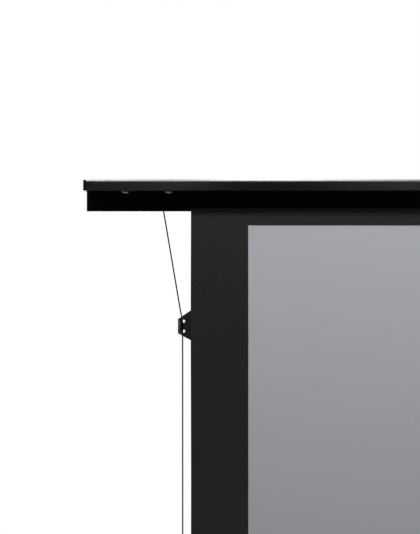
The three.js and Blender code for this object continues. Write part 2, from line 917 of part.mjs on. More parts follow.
function armBase() {
  const plateBottom = trayTop + seatGap;
  const plateTop = plateBottom + basePlateThickness;
  const cheek = new THREE.Shape();
  cheek.moveTo(armPivotX + baseCheekHalfWidth, plateBottom);
  cheek.absarc(armPivotX, armPivotZ, baseCheekRadius, 0, Math.PI, false);
  cheek.lineTo(armPivotX - baseCheekHalfWidth, plateBottom);
  cheek.holes.push(circle(armPivotX, armPivotZ, pinRadius + pinClearance));
  const upright = new THREE.Shape();
  upright.moveTo(strutBaseX + studUprightRadius, plateBottom);
  upright.absarc(strutBaseX, armPivotZ, studUprightRadius, 0, Math.PI, false);
  upright.lineTo(strutBaseX - studUprightRadius, plateBottom);
  const uprightFront = lowerArmFront - armSideGap;
  return join(
    block(
      armPivotX - baseCheekHalfWidth,
      strutBaseX + basePlateEnd,
      uprightFront,
      baseCheekRear,
      plateBottom,
      plateTop,
    ),
    plateY(cheek, baseCheekFront, baseCheekRear, roundSegments / 4),
    plateY(upright, uprightFront, uprightFront + studUprightThickness, roundSegments / 4),
    strutStud(uprightFront + studUprightThickness / 2).translate(strutBaseX, 0, armPivotZ),
  );
}

function headBracket() {
  const plateTop = beamBottom - seatGap;
  const plateBottom = plateTop - headPlateThickness;
  const cheekFront = beamRear - headCheekThickness;
  const cheek = new THREE.Shape();
  cheek.moveTo(armPivotX - headCheekHalfWidth, plateTop);
  cheek.absarc(armPivotX, headPivotZ, armHeadRadius, Math.PI, 2 * Math.PI, false);
  cheek.lineTo(armPivotX + headCheekHalfWidth, plateTop);
  const stud = turnY([
    [0, beamRear - headCheekThickness / 2],
    [pinRadius, beamRear - headCheekThickness / 2],
    [pinRadius, upperArmRear + seatGap],
    [pinHeadRadius, upperArmRear + seatGap],
    [pinHeadRadius, upperArmRear + seatGap + pinHeadThickness],
    [0, upperArmRear + seatGap + pinHeadThickness],
  ]).translate(armPivotX, 0, headPivotZ);
  return join(
    block(
      armPivotX - headCheekHalfWidth,
      armPivotX + headCheekHalfWidth,
      beamRear - headPlateFront,
      beamRear,
      plateBottom,
      plateTop,
    ),
    plateY(cheek, cheekFront, beamRear, roundSegments / 4),
    stud,
  );
}

// Struts, drawn upright: the cylinder up from its eye, and the rod down from its own
function strutEye() {
  const eye = circle(0, 0, strutEyeRadius, THREE.Shape);
  eye.holes.push(circle(0, 0, studRadius + pinClearance));
  return plateY(eye, strutY - strutEyeThickness / 2, strutY + strutEyeThickness / 2, roundSegments / 4);
}

function strutCylinder() {
  const start = strutEyeRadius + strutNeck;
  const tube = turnZ([
    [0, strutEyeRadius - studRadius / 2],
    [strutRodRadius, strutEyeRadius - studRadius / 2],
    [strutRodRadius, start],
    [strutRadius, start + strutRodRadius],
    [strutRadius, strutCylinderLength],
    [strutBore, strutCylinderLength],
    [strutBore, start + strutRadius],
    [0, start + strutRadius],
  ]).translate(0, strutY, 0);
  return join(strutEye(), tube);
}

function strutRod() {
  const neck = strutEyeRadius - studRadius / 2;
  const tube = turnZ([
    [0, -strutRodLength],
    [strutRodRadius, -strutRodLength],
    [strutRodRadius, -neck],
    [0, -neck],
  ]).translate(0, strutY, 0);
  return join(strutEye(), tube);
}

function lean(parent, x, z, angle) {
  const group = new THREE.Group();
  group.position.set(x, 0, z);
  group.rotation.y = angle;
  parent.add(group);
  return group;
}

// Tension tabs and the cord that draws them outboard
const tabFront = fabricRear + seatGap;
const tabRear = tabFront + tabThickness;
const tabHeight = (n) => beamBottom - firstTabDrop - n * tabPitch;

function tensionTab(z) {
  const half = tabTipLength / 2;
  const shape = outline([
    [fabricHalf - tabWeldWidth, z - half - tabLowerFlare],
    [fabricHalf, z - half - tabLowerFlare],
    [fabricHalf + tabReach, z - half],
    [fabricHalf + tabReach, z + half],
    [fabricHalf, z + half + tabUpperFlare],
    [fabricHalf - tabWeldWidth, z + half + tabUpperFlare],
  ]);
  for (const side of [-1, 1]) {
    shape.holes.push(
      circle(fabricHalf + tabHoleOffset, z + (side * tabHoleSpacing) / 2, tabHoleRadius),
    );
  }
  return plateY(shape, tabFront, tabRear, roundSegments / 4);
}

// The cord runs behind each tab, forward through its upper hole, down its face and back again
function tensionCord() {
  const behind = tabRear + seatGap + cordRadius;
  const infront = tabFront - seatGap - cordRadius;
  const weaveShares = [0, 0.25, 0.5, 0.75, 1];
  const smooth = (t) => t * t * (3 - 2 * t);
  const knot = new THREE.Vector3(fabricHalf + cordAnchorOffset, slotY, slideBottom + slideThickness);
  const slot = knot.clone().setZ(lidBottom - cordRadius);
  const hole = new THREE.Vector3(cordX, behind, tabHeight(0) + tabHoleSpacing / 2 + cordWeaveHalf);
  const tabTop = tabHeight(0) + tabTipLength / 2 + tabUpperFlare;
  const overTab = slot.clone().lerp(hole, (slot.z - tabTop) / (slot.z - hole.z)).setY(behind);
  const points = [knot, slot, overTab];
  const passThrough = (z, from, to) =>
    weaveShares.forEach((t) =>
      points.push(
        new THREE.Vector3(cordX, from + (to - from) * smooth(t), z + cordWeaveHalf * (1 - 2 * t)),
      ),
    );
  for (let n = 0; n < tabCount; n++) {
    const z = tabHeight(n);
    passThrough(z + tabHoleSpacing / 2, behind, infront);
    passThrough(z - tabHoleSpacing / 2, infront, behind);
  }
  const wrapRadius = rollerRadius + seatGap + cordRadius;
  const wrapSteps = Math.round(cordTurns * wrapStepsPerTurn);
  for (let i = 0; i <= wrapSteps; i++) {
    const share = i / wrapSteps;
    const angle = Math.PI + 2 * Math.PI * cordTurns * share;
    points.push(
      new THREE.Vector3(
        cordX + share * cordTurns * (2 * cordRadius + 2 * seatGap),
        rollerY + wrapRadius * Math.cos(angle),
        rollerZ + wrapRadius * Math.sin(angle),
      ),
    );
  }
  printLeastGap("tension_cord", points.slice(-wrapSteps - 1), 2 * cordRadius, wrapStepsPerTurn);
  return bar(points, cordRadius, cordSides);
}

// Tension adjuster: a slide in the lid's channel, clamped by two pan-head screws
const screwPlaces = { outer: lidHalf - outerScrewInset, inner: lidHalf - innerScrewInset };
const slideBottom = lidBottom + lidWall + seatGap;

function tensionSlide() {
  const half = tensionChannelWidth / 2 - slideSideGap;
  const x1 = lidHalf - slideInset;
  const shape = rectangle(x1 - slideLength, slotY - half, x1, slotY + half);
  for (const x of Object.values(screwPlaces)) {
    shape.holes.push(circle(x, slotY, screwShankRadius + pinClearance));
  }
  shape.holes.push(circle(fabricHalf + cordAnchorOffset, slotY, cordRadius + seatGap));
  return plateZ(shape, slideBottom, slideBottom + slideThickness, roundSegments / 4);
}

function tensionScrew(x) {
  const under = lidBottom - seatGap;
  const crownShares = [
    [0, 1],
    [0.45, 0.97],
    [0.8, 0.72],
    [1, 0.3],
    [1, 0],
  ];
  return turnZ([
    ...crownShares.map(([r, h]) => [r * screwHeadRadius, under - h * screwHeadHeight]),
    [screwShankRadius, under],
    [screwShankRadius, slideBottom + slideThickness - screwEndHidden],
    [0, slideBottom + slideThickness - screwEndHidden],
  ]).translate(x, slotY, 0);
}

// Feet: a swing-out bar with a pad at each end, on a bolt under the tray
const footX = lidHalf - footInset;

function foot() {
  const half = footLength / 2;
  const padCentre = half - footTipWidth / 2;
  const barTop = footPadHeight + footThickness;
  const plan = new THREE.Shape();
  plan.moveTo(footWidth / 2, 0);
  plan.absarc(0, padCentre, footTipWidth / 2, 0, Math.PI, false);
  plan.lineTo(-footWidth / 2, 0);
  plan.absarc(0, -padCentre, footTipWidth / 2, Math.PI, 2 * Math.PI, false);
  const pad = turnZ(rod(footPadRadius, 0, footPadHeight + footThickness / 2));
  const body = join(
    plateZ(plan, footPadHeight, barTop, roundSegments / 4),
    turnZ(rod(footBossRadius, footPadHeight, trayBottom - seatGap)),
    pad.clone().translate(0, padCentre, 0),
    pad.translate(0, -padCentre, 0),
  );
  return cut(body, turnZ(rod(footBoltRadius + pinClearance, -overrun, trayBottom + overrun)));
}

function footBolt() {
  const headTop = footPadHeight - seatGap;
  const nutBottom = trayTop + seatGap;
  return turnZ([
    [0, headTop - footBoltHeadHeight],
    [footBoltHeadRadius, headTop - footBoltHeadHeight],
    [footBoltHeadRadius, headTop],
    [footBoltRadius, headTop],
    [footBoltRadius, nutBottom],
    [footBoltHeadRadius, nutBottom],
    [footBoltHeadRadius, nutBottom + footBoltHeadHeight],
    [0, nutBottom + footBoltHeadHeight],
  ]);
}

for (const [side, parent] of [["left", leftSide], ["right", rightSide]]) {
  add(`${side}_end_cap`, endCap(), blackPlastic, parent);
  add(`${side}_lid_cap`, lidCap(), blackPlastic, parent);
  add(`${side}_beam_plug`, beamPlug(), blackPlastic, parent);
  add(`${side}_roller_bracket`, rollerBracket(), zincSteel, parent);
  add(`${side}_arm_base`, armBase(), blackSteel, parent);
  add(`${side}_head_bracket`, headBracket(), blackSteel, parent);

  add(
    `${side}_base_pin`,
    pin(lowerArmFront, baseCheekRear).translate(armPivotX, 0, armPivotZ),
    zincSteel,
    parent,
  );
  const lower = lean(parent, armPivotX, armPivotZ, -armLean);
  add(
    `${side}_lower_arm`,
    join(
      armPlate(armLength, armEndRadius, armEndRadius, lowerArmFront, lowerArmRear),
      strutStud(lowerArmFront + armPocketDepth + armSideGap).translate(0, 0, strutReach),
    ),
    blackAnodised,
    lower,
  );
  add(`${side}_knee_pin`, pin(lowerArmFront, upperArmRear).translate(0, 0, armLength), zincSteel, lower);
  const upper = lean(parent, kneeX, kneeZ, armLean);
  add(
    `${side}_upper_arm`,
    armPlate(armLength, armEndRadius, armHeadRadius, upperArmFront, upperArmRear),
    blackAnodised,
    upper,
  );

  const strutTopX = armPivotX - strutReach * Math.sin(armLean);
  const strutTopZ = armPivotZ + strutReach * Math.cos(armLean);
  add(`${side}_strut_cylinder`, strutCylinder(), blackSteel, lean(parent, strutBaseX, armPivotZ, -strutLean));
  add(`${side}_strut_rod`, strutRod(), zincSteel, lean(parent, strutTopX, strutTopZ, -strutLean));

  for (let n = 0; n < tabCount; n++) {
    add(`${side}_tab_${n + 1}`, tensionTab(tabHeight(n)), borderCloth, parent);
  }
  add(`${side}_tension_cord`, tensionCord(), cordBlack, parent);
  add(`${side}_tension_slide`, tensionSlide(), zincSteel, parent);
  for (const [place, x] of Object.entries(screwPlaces)) {
    add(`${side}_${place}_tension_screw`, tensionScrew(x), zincSteel, parent);
  }

  add(`${side}_foot`, foot().translate(footX, 0, 0), blackRubber, parent);
  add(`${side}_foot_bolt`, footBolt().translate(footX, 0, 0), zincSteel, parent);
}

// Pull handle: a bail that lies back on the lid, and the plate whose lugs hold it
const handleAxisZ = lidTop + seatGap + handleGripRadius; // the grip lies on the lid
const lugInner = handleSpan / 2 + handleBend + lugGap;
const handlePinEnd = lugInner + lugThickness + handlePinProud;

function handleMount() {
  const plateBottom = lidTop + seatGap;
  const plateTop = plateBottom + mountPlateThickness;
  const halfLength = lugInner + lugThickness + mountPlateMargin;
  const plate = rectangle(
    -halfLength,
    -mountPlateWidth / 2,
    halfLength,
    mountPlateWidth / 2,
    evenRadii(mountPlateRadius),
  );
  const lug = new THREE.Shape();
  lug.moveTo(lugRadius, plateTop - mountPlateThickness / 2);
  lug.absarc(0, handleAxisZ, lugRadius, 0, Math.PI, false);
  lug.lineTo(-lugRadius, plateTop - mountPlateThickness / 2);
  lug.holes.push(circle(0, handleAxisZ, handleRodRadius + pinClearance));
  return join(
    plateZ(plate, plateBottom, plateTop),
    sweepX(lug, lugInner, lugInner + lugThickness, roundSegments / 4),
    sweepX(lug, -lugInner - lugThickness, -lugInner, roundSegments / 4),
  );
}

// Points of a quarter bend from one direction to the next, at a corner
function bend(corner, from, to) {
  const angles = Array.from({ length: bendSegments + 1 }, (_, i) => (i * Math.PI) / 2 / bendSegments);
  const centre = corner.clone().addScaledVector(from, -handleBend).addScaledVector(to, handleBend);
  return angles.map((a) =>
    centre
      .clone()
      .addScaledVector(to, -handleBend * Math.cos(a))
      .addScaledVector(from, handleBend * Math.sin(a)),
  );
}

function pullHandle() {
  const half = handleSpan / 2;
  const at = (x, y) => new THREE.Vector3(x, y, handleAxisZ);
  const back = unitX.clone().negate();
  const frontwards = unitY.clone().negate();
  const path = [
    at(handlePinEnd, 0),
    ...bend(at(half, 0), back, unitY),
    ...bend(at(half, handleReach), unitY, back),
    ...bend(at(-half, handleReach), back, frontwards),
    ...bend(at(-half, 0), frontwards, back),
    at(-handlePinEnd, 0),
  ];
  const gripEnd = handleGripLength / 2;
  const shoulder = handleGripRadius - handleRodRadius;
  const grip = turnX([
    [0, -gripEnd],
    [handleRodRadius, -gripEnd],
    [handleGripRadius, -gripEnd + shoulder],
    [handleGripRadius, gripEnd - shoulder],
    [handleRodRadius, gripEnd],
    [0, gripEnd],
  ]).translate(0, handleReach, handleAxisZ);
  return join(bar(path, handleRodRadius, rodSides), grip);
}

add("handle_mount", handleMount(), blackPlastic);
add("pull_handle", pullHandle(), blackPlastic);

export default model;
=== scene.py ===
"""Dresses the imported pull-up projection screen and lights it for the camera.

Run by Blender 4.5. Lengths are in metres. +Z is up, -Y is towards the audience, and the origin is on
the floor under the middle of the housing.
"""

import json
import math
from contextlib import contextmanager

import bmesh
import bpy
from bpy.props import FloatProperty, IntProperty, PointerProperty, StringProperty
from mathutils import Matrix, Vector


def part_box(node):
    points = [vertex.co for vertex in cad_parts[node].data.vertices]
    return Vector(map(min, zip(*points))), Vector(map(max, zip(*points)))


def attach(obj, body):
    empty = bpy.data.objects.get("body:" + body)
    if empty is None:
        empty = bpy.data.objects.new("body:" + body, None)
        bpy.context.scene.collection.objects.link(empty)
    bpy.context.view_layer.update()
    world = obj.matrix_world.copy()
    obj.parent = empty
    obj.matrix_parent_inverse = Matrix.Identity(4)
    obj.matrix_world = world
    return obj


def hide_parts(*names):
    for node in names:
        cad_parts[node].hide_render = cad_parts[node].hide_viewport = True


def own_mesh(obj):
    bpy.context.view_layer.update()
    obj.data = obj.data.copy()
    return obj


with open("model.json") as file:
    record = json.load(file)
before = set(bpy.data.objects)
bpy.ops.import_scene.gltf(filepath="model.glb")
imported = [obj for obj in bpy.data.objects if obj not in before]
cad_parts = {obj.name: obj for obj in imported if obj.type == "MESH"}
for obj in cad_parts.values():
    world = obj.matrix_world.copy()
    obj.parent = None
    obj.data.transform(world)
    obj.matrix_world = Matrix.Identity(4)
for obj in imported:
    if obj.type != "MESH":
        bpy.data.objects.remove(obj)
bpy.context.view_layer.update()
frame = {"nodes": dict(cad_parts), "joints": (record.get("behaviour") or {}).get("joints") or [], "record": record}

bl_info = {
    "name": "Pull-up projection screen",
    "version": (1, 0, 0),
    "blender": (4, 5, 0),
    "location": "3D View > Sidebar > Screen",
    "description": "Dresses a tab tensioned pull-up projection screen",
    "category": "Object",
}

MM = 0.001
SIDES = {"left": -1, "right": 1}


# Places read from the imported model


def low(node):
    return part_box(node)[0]


def high(node):
    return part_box(node)[1]


def middle(node):
    return (low(node) + high(node)) / 2


def joint(name):
    return next(j for j in frame["joints"] if j["name"] == name)


MERGE = 0.002 * MM  # corners nearer than this are one

RECORD = frame["record"]
BODY_OF = {node: body for body, nodes in RECORD["behaviour"]["bodies"].items() for node in nodes}

ROLLER = Vector(joint("roller_spin")["pos_m"])
LID_UNDERSIDE = low("lid").z


# What a user may change: a length in metres, a plain amount, a count, or an sRGB hex colour


def length(name, description, default):
    return FloatProperty(name=name, description=description, default=default, unit="LENGTH")


def amount(name, description, default):
    return FloatProperty(name=name, description=description, default=default)


def count(name, description, default):
    return IntProperty(name=name, description=description, default=default)


def shade(name, description, default):
    return StringProperty(name=name, description=description, default=default)


class ScreenSizes(bpy.types.PropertyGroup):
    """Sizes of the pieces that are modelled here."""

    extruded_edge: length("Extruded edge", "Rounding of the aluminium sections' edges", 0.0005)
    pressed_edge: length("Pressed edge", "Rounding of the steel pieces' edges", 0.0004)
    moulded_edge: length("Moulded edge", "Rounding of the plastic pieces' edges", 0.0004)
    lid_nose: length("Lid nose", "Radius along the lid's upper edges", 0.003)
    lid_fall: length("Lid fall", "How far the lid's top falls towards its front edge", 0.00115)
    cap_proud: length("Cap proud", "How far the lid's end caps stand over its top", 0.0017)
    lid_wall: length("Lid wall", "Thickness of the lid's walls", 0.0016)
    cord_gap: length("Cord gap", "Between the cord and what it lies on", 0.0003)
    cord_diameter: length("Cord", "Diameter of the tension cord", 0.0017)
    tab_film: length("Tab film", "Thickness of the tabs' film", 0.0005)
    tab_edge: length("Tab edge", "Rounding of a tab's cut edges", 0.00012)
    tab_corner: length("Tab corner", "Radius of a tab's outer corners", 0.0015)
    cloth_thickness: length("Cloth", "Thickness of the coated cloth", 0.00035)
    cloth_cell: length("Cloth cell", "Mesh size of the cloth", 0.02)
    edge_draw: length("Edge draw", "How far the cloth's edges curve in between two tabs", 0.0004)
    # A dark washer under each tension screw's head: painted shade, standing in for the shade on the head's upper
    # part
    washer: length("Washer", "Nylon washer between a tension screw's head and the lid", 0.0013)
    recess_width: length("Recess", "Width of the cross recess in a screw's head", 0.0011)
    spring_turns: count("Spring turns", "Turns of the roller's torsion spring", 66)
    spring_wire: length("Spring wire", "Radius of the spring's wire", 0.0013)
    grip_ribs: count("Grip ribs", "Ribs on the handle's grip", 31)
    rib_spacing: length("Rib spacing", "From one rib of the grip to the next", 0.0032)
    rib_proud: length("Rib height", "How far a rib stands out of the grip", 0.00025)


class ScreenColours(bpy.types.PropertyGroup):
    """Colours of the finishes, as sRGB hex values."""

    anodised: shade("Anodised", "Black anodised aluminium", "#0f0f10")
    # Darker than the lid's black: painted shade, for the lid's shadow on the beam and the clamp bar
    shaded_anodised: shade("Shaded", "Black of the beam, darkened as painted shade", "#0a0a0b")
    mill: shade("Mill", "Bare drawn aluminium", "#c9cbcd")
    plastic: shade("Plastic", "Moulded plastic", "#0c0c0d")
    border: shade("Border", "Black border cloth", "#151517")
    picture: shade("Picture", "Grey picture surface", "#a6a8ac")
    tab: shade("Tab", "Welded edge tabs", "#161617")
    cord: shade("Cord", "Braided tension cord", "#030304")
    # Darker than plated zinc: painted shade, for the tension screws under the lid. The other zinc pieces share it
    zinc: shade("Zinc", "Zinc plated steel", "#66635c")
    chrome: shade("Chrome", "Hard chromed strut rod", "#9a9c9e")
    powder: shade("Powder coat", "Powder coated steel", "#1a1a1b")
    spring: shade("Spring", "Oiled spring wire", "#77797c")
    rubber: shade("Rubber", "Rubber of the handle's grip", "#131313")
    floor: shade("Floor", "Studio floor as seen", "#f4f4f4")
    bounce: shade("Bounce", "Colour of the light that the floor throws back", "#8a8a8a")


class ScreenStage(bpy.types.PropertyGroup):
    """Camera and lamps."""

    camera_distance: length("Camera distance", "From the camera to the cloth", 8.0)
    seen_height: length("Seen height", "Height that the picture covers", 0.6675)
    seen_x: length("Seen across", "Middle of the picture, across", -1.15485)
    seen_z: length("Seen up", "Middle of the picture, upwards", 1.66813)
    floor_reach: length("Floor", "Half the floor's width", 24.0)
    key_power: amount("Key", "Watts of the strip lamp over the audience's side", 18.5)
    fill_power: amount("Fill", "Watts of the strip lamp low on the audience's side", 7.0)
    back_power: amount("Back", "Watts of the wide lamp behind the screen", 40.0)
    edge_power: amount("Edge", "Watts of the small lamp over the lid's left end", 7.0)
    overhead: amount("Overhead", "Strength of the soft sun overhead", 2.2)
    ambient: amount("Ambient", "Strength of the even light from all round", 0.2)


# Nodes and colours


def linear(code):
    """The linear colour of an sRGB hex value."""
    channels = [int(code.lstrip("#")[i : i + 2], 16) / 255 for i in (0, 2, 4)]
    return (*[c / 12.92 if c <= 0.04045 else ((c + 0.055) / 1.055) ** 2.4 for c in channels], 1.0)


def socket_of(sockets, name=None):
    """The socket in use that has this name or number, or the first one. Several may share a name."""
    if isinstance(name, int):
        return sockets[name]
    return next(each for each in sockets if each.enabled and name in (None, each.name))


def add(tree, kind, inputs=None, **settings):
    """Adds a node. An input's value is a plain value, an output socket, or a node that feeds it."""
    made = tree.nodes.new(kind)
    for name, value in settings.items():
        setattr(made, name, value)
    for name, value in (inputs or {}).items():
        if isinstance(value, bpy.types.Node):
            value = socket_of(value.outputs)
        if isinstance(value, bpy.types.NodeSocket):
            tree.links.new(value, socket_of(made.inputs, name))
        else:
            socket_of(made.inputs, name).default_value = value
    return made


def blank_material(name):
    """A new material holding only its output, and its node tree."""
    made = bpy.data.materials.new(name)
    made.use_nodes = True
    made.node_tree.nodes.clear()
    return made, made.node_tree


def stretched_place(tree, across, up, deep):
    """Object coordinates, counted in pattern cells of the given real sizes."""
    place = add(tree, "ShaderNodeTexCoord").outputs["Object"]
    return add(tree, "ShaderNodeMapping", {"Vector": place, "Scale": (1 / across, 1 / deep, 1 / up)})


def two_tones(code, darker, paler):
    """Two linear colours, darker and paler than the hex value by these shares of it."""
    base = linear(code)[:3]
    return (
        (*[c * (1 - darker) for c in base], 1.0),
        (*[min(1.0, c * (1 + paler)) for c in base], 1.0),
    )


def close_material(tree, share, tones, height, depth, shader):
    """Ends a tree: a colour that goes from one tone to the other, and a relief of the given depth."""
    tone = add(tree, "ShaderNodeMix", {"Factor": share, "A": tones[0], "B": tones[1]}, data_type="RGBA")
    relief = add(tree, "ShaderNodeBump", {"Height": height, "Distance": depth, "Strength": 1.0})
    surface = add(tree, "ShaderNodeBsdfPrincipled", {"Base Color": tone, "Normal": relief, **shader})
    add(tree, "ShaderNodeOutputMaterial", {"Surface": surface})


def patterned(colours, name, colour, spread, grain, depth, rough, drift=None, **shader):
    """A surface whose colour, roughness and relief vary with one noise. Its grain and depth are in mm.

    A drift is (length, start, most): the roughness also wanders along X, by up to most either way.
    """
    made, tree = blank_material(name)
    place = stretched_place(tree, *(size * MM for size in grain))
    noise = add(
        tree, "ShaderNodeTexNoise", {"Vector": place, "Scale": 1.0, "Detail": 3.0, "Roughness": 0.55}
    )
    rough_map = add(
        tree, "ShaderNodeMapRange", {"Value": noise, "To Min": rough[0], "To Max": rough[1]}
    )
    if drift:
        spacing, start, most = drift
        cells = stretched_place(tree, spacing, 1, 1)
        along = add(tree, "ShaderNodeSeparateXYZ", {"Vector": cells})
        along = add(tree, "ShaderNodeMath", {0: along, 1: start}, operation="ADD")
        slow = add(
            tree, "ShaderNodeTexNoise", {"W": along, "Scale": 1.0, "Detail": 1.0},
            noise_dimensions="1D",
        )
        wander = add(
            tree, "ShaderNodeMapRange",
            {"Value": slow, "From Min": 0.25, "From Max": 0.75, "To Min": -most, "To Max": most},
        )
        rough_map = add(tree, "ShaderNodeMath", {0: rough_map, 1: wander}, operation="ADD")
    tones = two_tones(getattr(colours, colour), spread, spread)
    close_material(tree, noise, tones, noise, depth * MM, {"Roughness": rough_map, **shader})
    return made


# Finishes, each named for what the real one is. Sizes are in mm, a grain is across, up and deep, and
# a row names its colour where that isn't the finish's own.

DRIFT_START = 239.45  # the lid's slow drift of sheen, counted in its own lengths

PATTERNED = {
    # Extruded, bead blasted and dyed: satin, with die lines along it, drawn wide so that they show
    "anodised": {
        "name": "black anodised aluminium", "spread": 0.08,
        "grain": (400, 0.6, 0.6), "depth": 0.01, "rough": (0.37, 0.43),
        "drift": (180 * MM, DRIFT_START, 0.12), "Specular IOR Level": 0.3,
    },
    # Anodised, and smoother than the lid's. Its deeper black than the lid's is painted shade, for the lid's shadow
    # on the beam and the clamp bar
    "shaded_anodised": {
        "name": "sealed black anodised aluminium", "spread": 0.08,
        "grain": (400, 0.6, 0.6), "depth": 0.001, "rough": (0.15, 0.2),
    },
    # Bare drawn tube: bright, with fine lines along it
    "mill": {
        "name": "bare drawn aluminium", "spread": 0.05,
        "grain": (300, 0.5, 0.5), "depth": 0.01, "rough": (0.3, 0.4), "Metallic": 1.0,
    },
    # Injection moulded, with a spark-eroded grain: an even, slightly dull black
    "plastic": {
        "name": "moulded black ABS", "spread": 0.1,
        "grain": (0.7, 0.7, 0.7), "depth": 0.006, "rough": (0.2, 0.26),
    },
    # Powder coated: black, with an orange peel about a millimetre wide
    "powder": {
        "name": "black powder coated steel", "spread": 0.06,
        "grain": (1.4, 1.4, 1.4), "depth": 0.03, "rough": (0.42, 0.5),
    },
    # Bright plated and passivated: silver with a warm and a cool cast in patches. Its colour is darker than such
    # plating: painted shade, for the tension screws under the lid
    "zinc": {
        "name": "zinc plated steel", "spread": 0.45,
        "grain": (1.8, 1.8, 1.8), "depth": 0.05, "rough": (0.16, 0.34), "Metallic": 1.0,
    },
    # The same plating on the larger pressed and turned pieces, where it is more even. They share its darker
    # colour, the painted shade meant for the screws
    "pressed zinc": {
        "name": "zinc plated pressed steel", "colour": "zinc", "spread": 0.12,
        "grain": (3, 3, 3), "depth": 0.02, "rough": (0.24, 0.34), "Metallic": 1.0,
    },
    # Ground and hard chromed: bright, and nearly a mirror
    "chrome": {
        "name": "hard chromed steel", "spread": 0.04,
        "grain": (1.2, 1.2, 1.2), "depth": 0.002, "rough": (0.1, 0.14), "Metallic": 1.0,
    },
    # Drawn and oiled wire: dark grey and glossy
    "spring": {
        "name": "oiled spring steel", "spread": 0.1,
        "grain": (1, 3, 3), "depth": 0.01, "rough": (0.22, 0.34), "Metallic": 1.0,
    },
    # Moulded: dull black with a fine even grain
    "rubber": {
        "name": "moulded rubber", "spread": 0.12,
        "grain": (0.9, 0.9, 0.9), "depth": 0.04, "rough": (0.7, 0.85),
    },
    # Calendered film, smoother than the cloth: a dull sheen. Its grain is drawn wide so that it shows
    "tab": {
        "name": "black PVC film", "spread": 0.1,
        "grain": (3, 3, 3), "depth": 0.02, "rough": (0.3, 0.38), "Specular IOR Level": 0.4,
    },
}
COATED = {
    # Light-blocking border. Its 0.5 mm threads are drawn 2.5 mm apart so that they show
    "border": {
        "name": "black coated cloth", "thread": 2.5, "relief": 0.02,
        "mottle": 0.05, "rough": 0.4, "specular": 0.5,
    },
    # Grey matte projection coating. Its threads are fuller covered than the border's
    "picture": {
        "name": "grey projection coating", "thread": 2.5, "relief": 0.008,
        "mottle": 0.012, "rough": 0.9, "specular": 0.2,
    },
    # PVC behind the coating: it stops light, and is smoother than cloth. Its threads are drawn wide
    "backing": {
        "name": "black PVC backing", "colour": "border", "thread": 3, "relief": 0.01,
        "mottle": 0.08, "rough": 0.55, "specular": 0.3,
    },
}


def coated_cloth(colours, name, colour, thread, relief, mottle, rough, specular):
    """Woven polyester under a matte coating: the threads, in mm, show through as a faint grid."""
    made, tree = blank_material(name)
    place = stretched_place(tree, thread * MM, thread * MM, thread * MM)
    across, _, up = add(tree, "ShaderNodeSeparateXYZ", {"Vector": place}).outputs
    waves = []
    for way in (across, up):
        turn = add(tree, "ShaderNodeMath", {0: way, 1: math.pi}, operation="MULTIPLY")
        waves.append(add(tree, "ShaderNodeMath", {0: turn}, operation="SINE"))
    weave = add(tree, "ShaderNodeMath", {0: waves[0], 1: waves[1]}, operation="MULTIPLY")
    cloud = add(
        tree, "ShaderNodeTexNoise",
        {"Vector": stretched_place(tree, 90 * MM, 90 * MM, 90 * MM), "Scale": 1.0, "Detail": 2.0},
    )
    tones = two_tones(getattr(colours, colour), mottle, mottle)
    close_material(
        tree, cloud, tones, weave, relief * MM, {"Roughness": rough, "Specular IOR Level": specular}
    )
    return made


def braided_cord(colours):
    """Braided polyester: two sets of strands that cross, dull and deep black."""
    lay, strands_each_way = 1.6 * MM, 2
    made, tree = blank_material("braided polyester cord")
    route = add(tree, "ShaderNodeAttribute", attribute_name="route").outputs["Vector"]
    along, around, _ = add(tree, "ShaderNodeSeparateXYZ", {"Vector": route}).outputs
    strands = []
    for turn in (-1, 1):
        twist = add(tree, "ShaderNodeMath", {0: along, 1: turn / lay}, operation="MULTIPLY")
        both = add(tree, "ShaderNodeMath", {0: twist, 1: around}, operation="ADD")
        turns = add(
            tree, "ShaderNodeMath", {0: both, 1: strands_each_way * 2 * math.pi},
            operation="MULTIPLY",
        )
        strands.append(add(tree, "ShaderNodeMath", {0: turns}, operation="SINE"))
    crossing = add(tree, "ShaderNodeMath", {0: strands[0], 1: strands[1]}, operation="MAXIMUM")
    # Paler on the strands' crests and darker in the grooves between them: painted highlight and painted shade
    tones = two_tones(colours.cord, 0, 0.8)
    close_material(
        tree, crossing, tones, crossing, 0.06 * MM, {"Roughness": 0.8, "Specular IOR Level": 0.02}
    )
    return made


_made_finishes = {}


def finish_of(name):
    """The named finish, made the first time that it is asked for."""
    colours = bpy.context.scene.screen_colours
    if name not in _made_finishes:
        if name == "cord":
            made = braided_cord(colours)
        elif name in COATED:
            made = coated_cloth(colours, **{"colour": name, **COATED[name]})
        else:
            made = patterned(colours, **{"colour": name, **PATTERNED[name]})
        _made_finishes[name] = made
    return _made_finishes[name]


# Mesh tools


def put(name, data):
    """A new object of the scene that holds the mesh or curve."""
    made = bpy.data.objects.new(name, data)
    bpy.context.scene.collection.objects.link(made)
    return made


def mesh_object(name, points, faces):
    data = bpy.data.meshes.new(name)
    data.from_pydata([tuple(p) for p in points], [], faces)
    return put(name, data)


@contextmanager
def reshaping(data, *sources):
    """Opens a mesh for changes, or starts it from other meshes, and writes the changes to it."""
    shape = bmesh.new()
    for source in sources or (data,):
        shape.from_mesh(source)
    yield shape
    shape.to_mesh(data)
    shape.free()


def tidy(obj, matrix=None):
    """Puts the place into the mesh, merges doubles and turns the faces outwards."""
    with reshaping(obj.data) as shape:
        if matrix is not None:
            bmesh.ops.transform(shape, matrix=matrix, verts=shape.verts)
        bmesh.ops.remove_doubles(shape, verts=shape.verts, dist=MERGE)
        bmesh.ops.recalc_face_normals(shape, faces=shape.faces)
    return obj


def plain_mesh(obj):
    """A mesh of what the object's modifiers or its curve make."""
    return bpy.data.meshes.new_from_object(obj.evaluated_get(bpy.context.evaluated_depsgraph_get()))


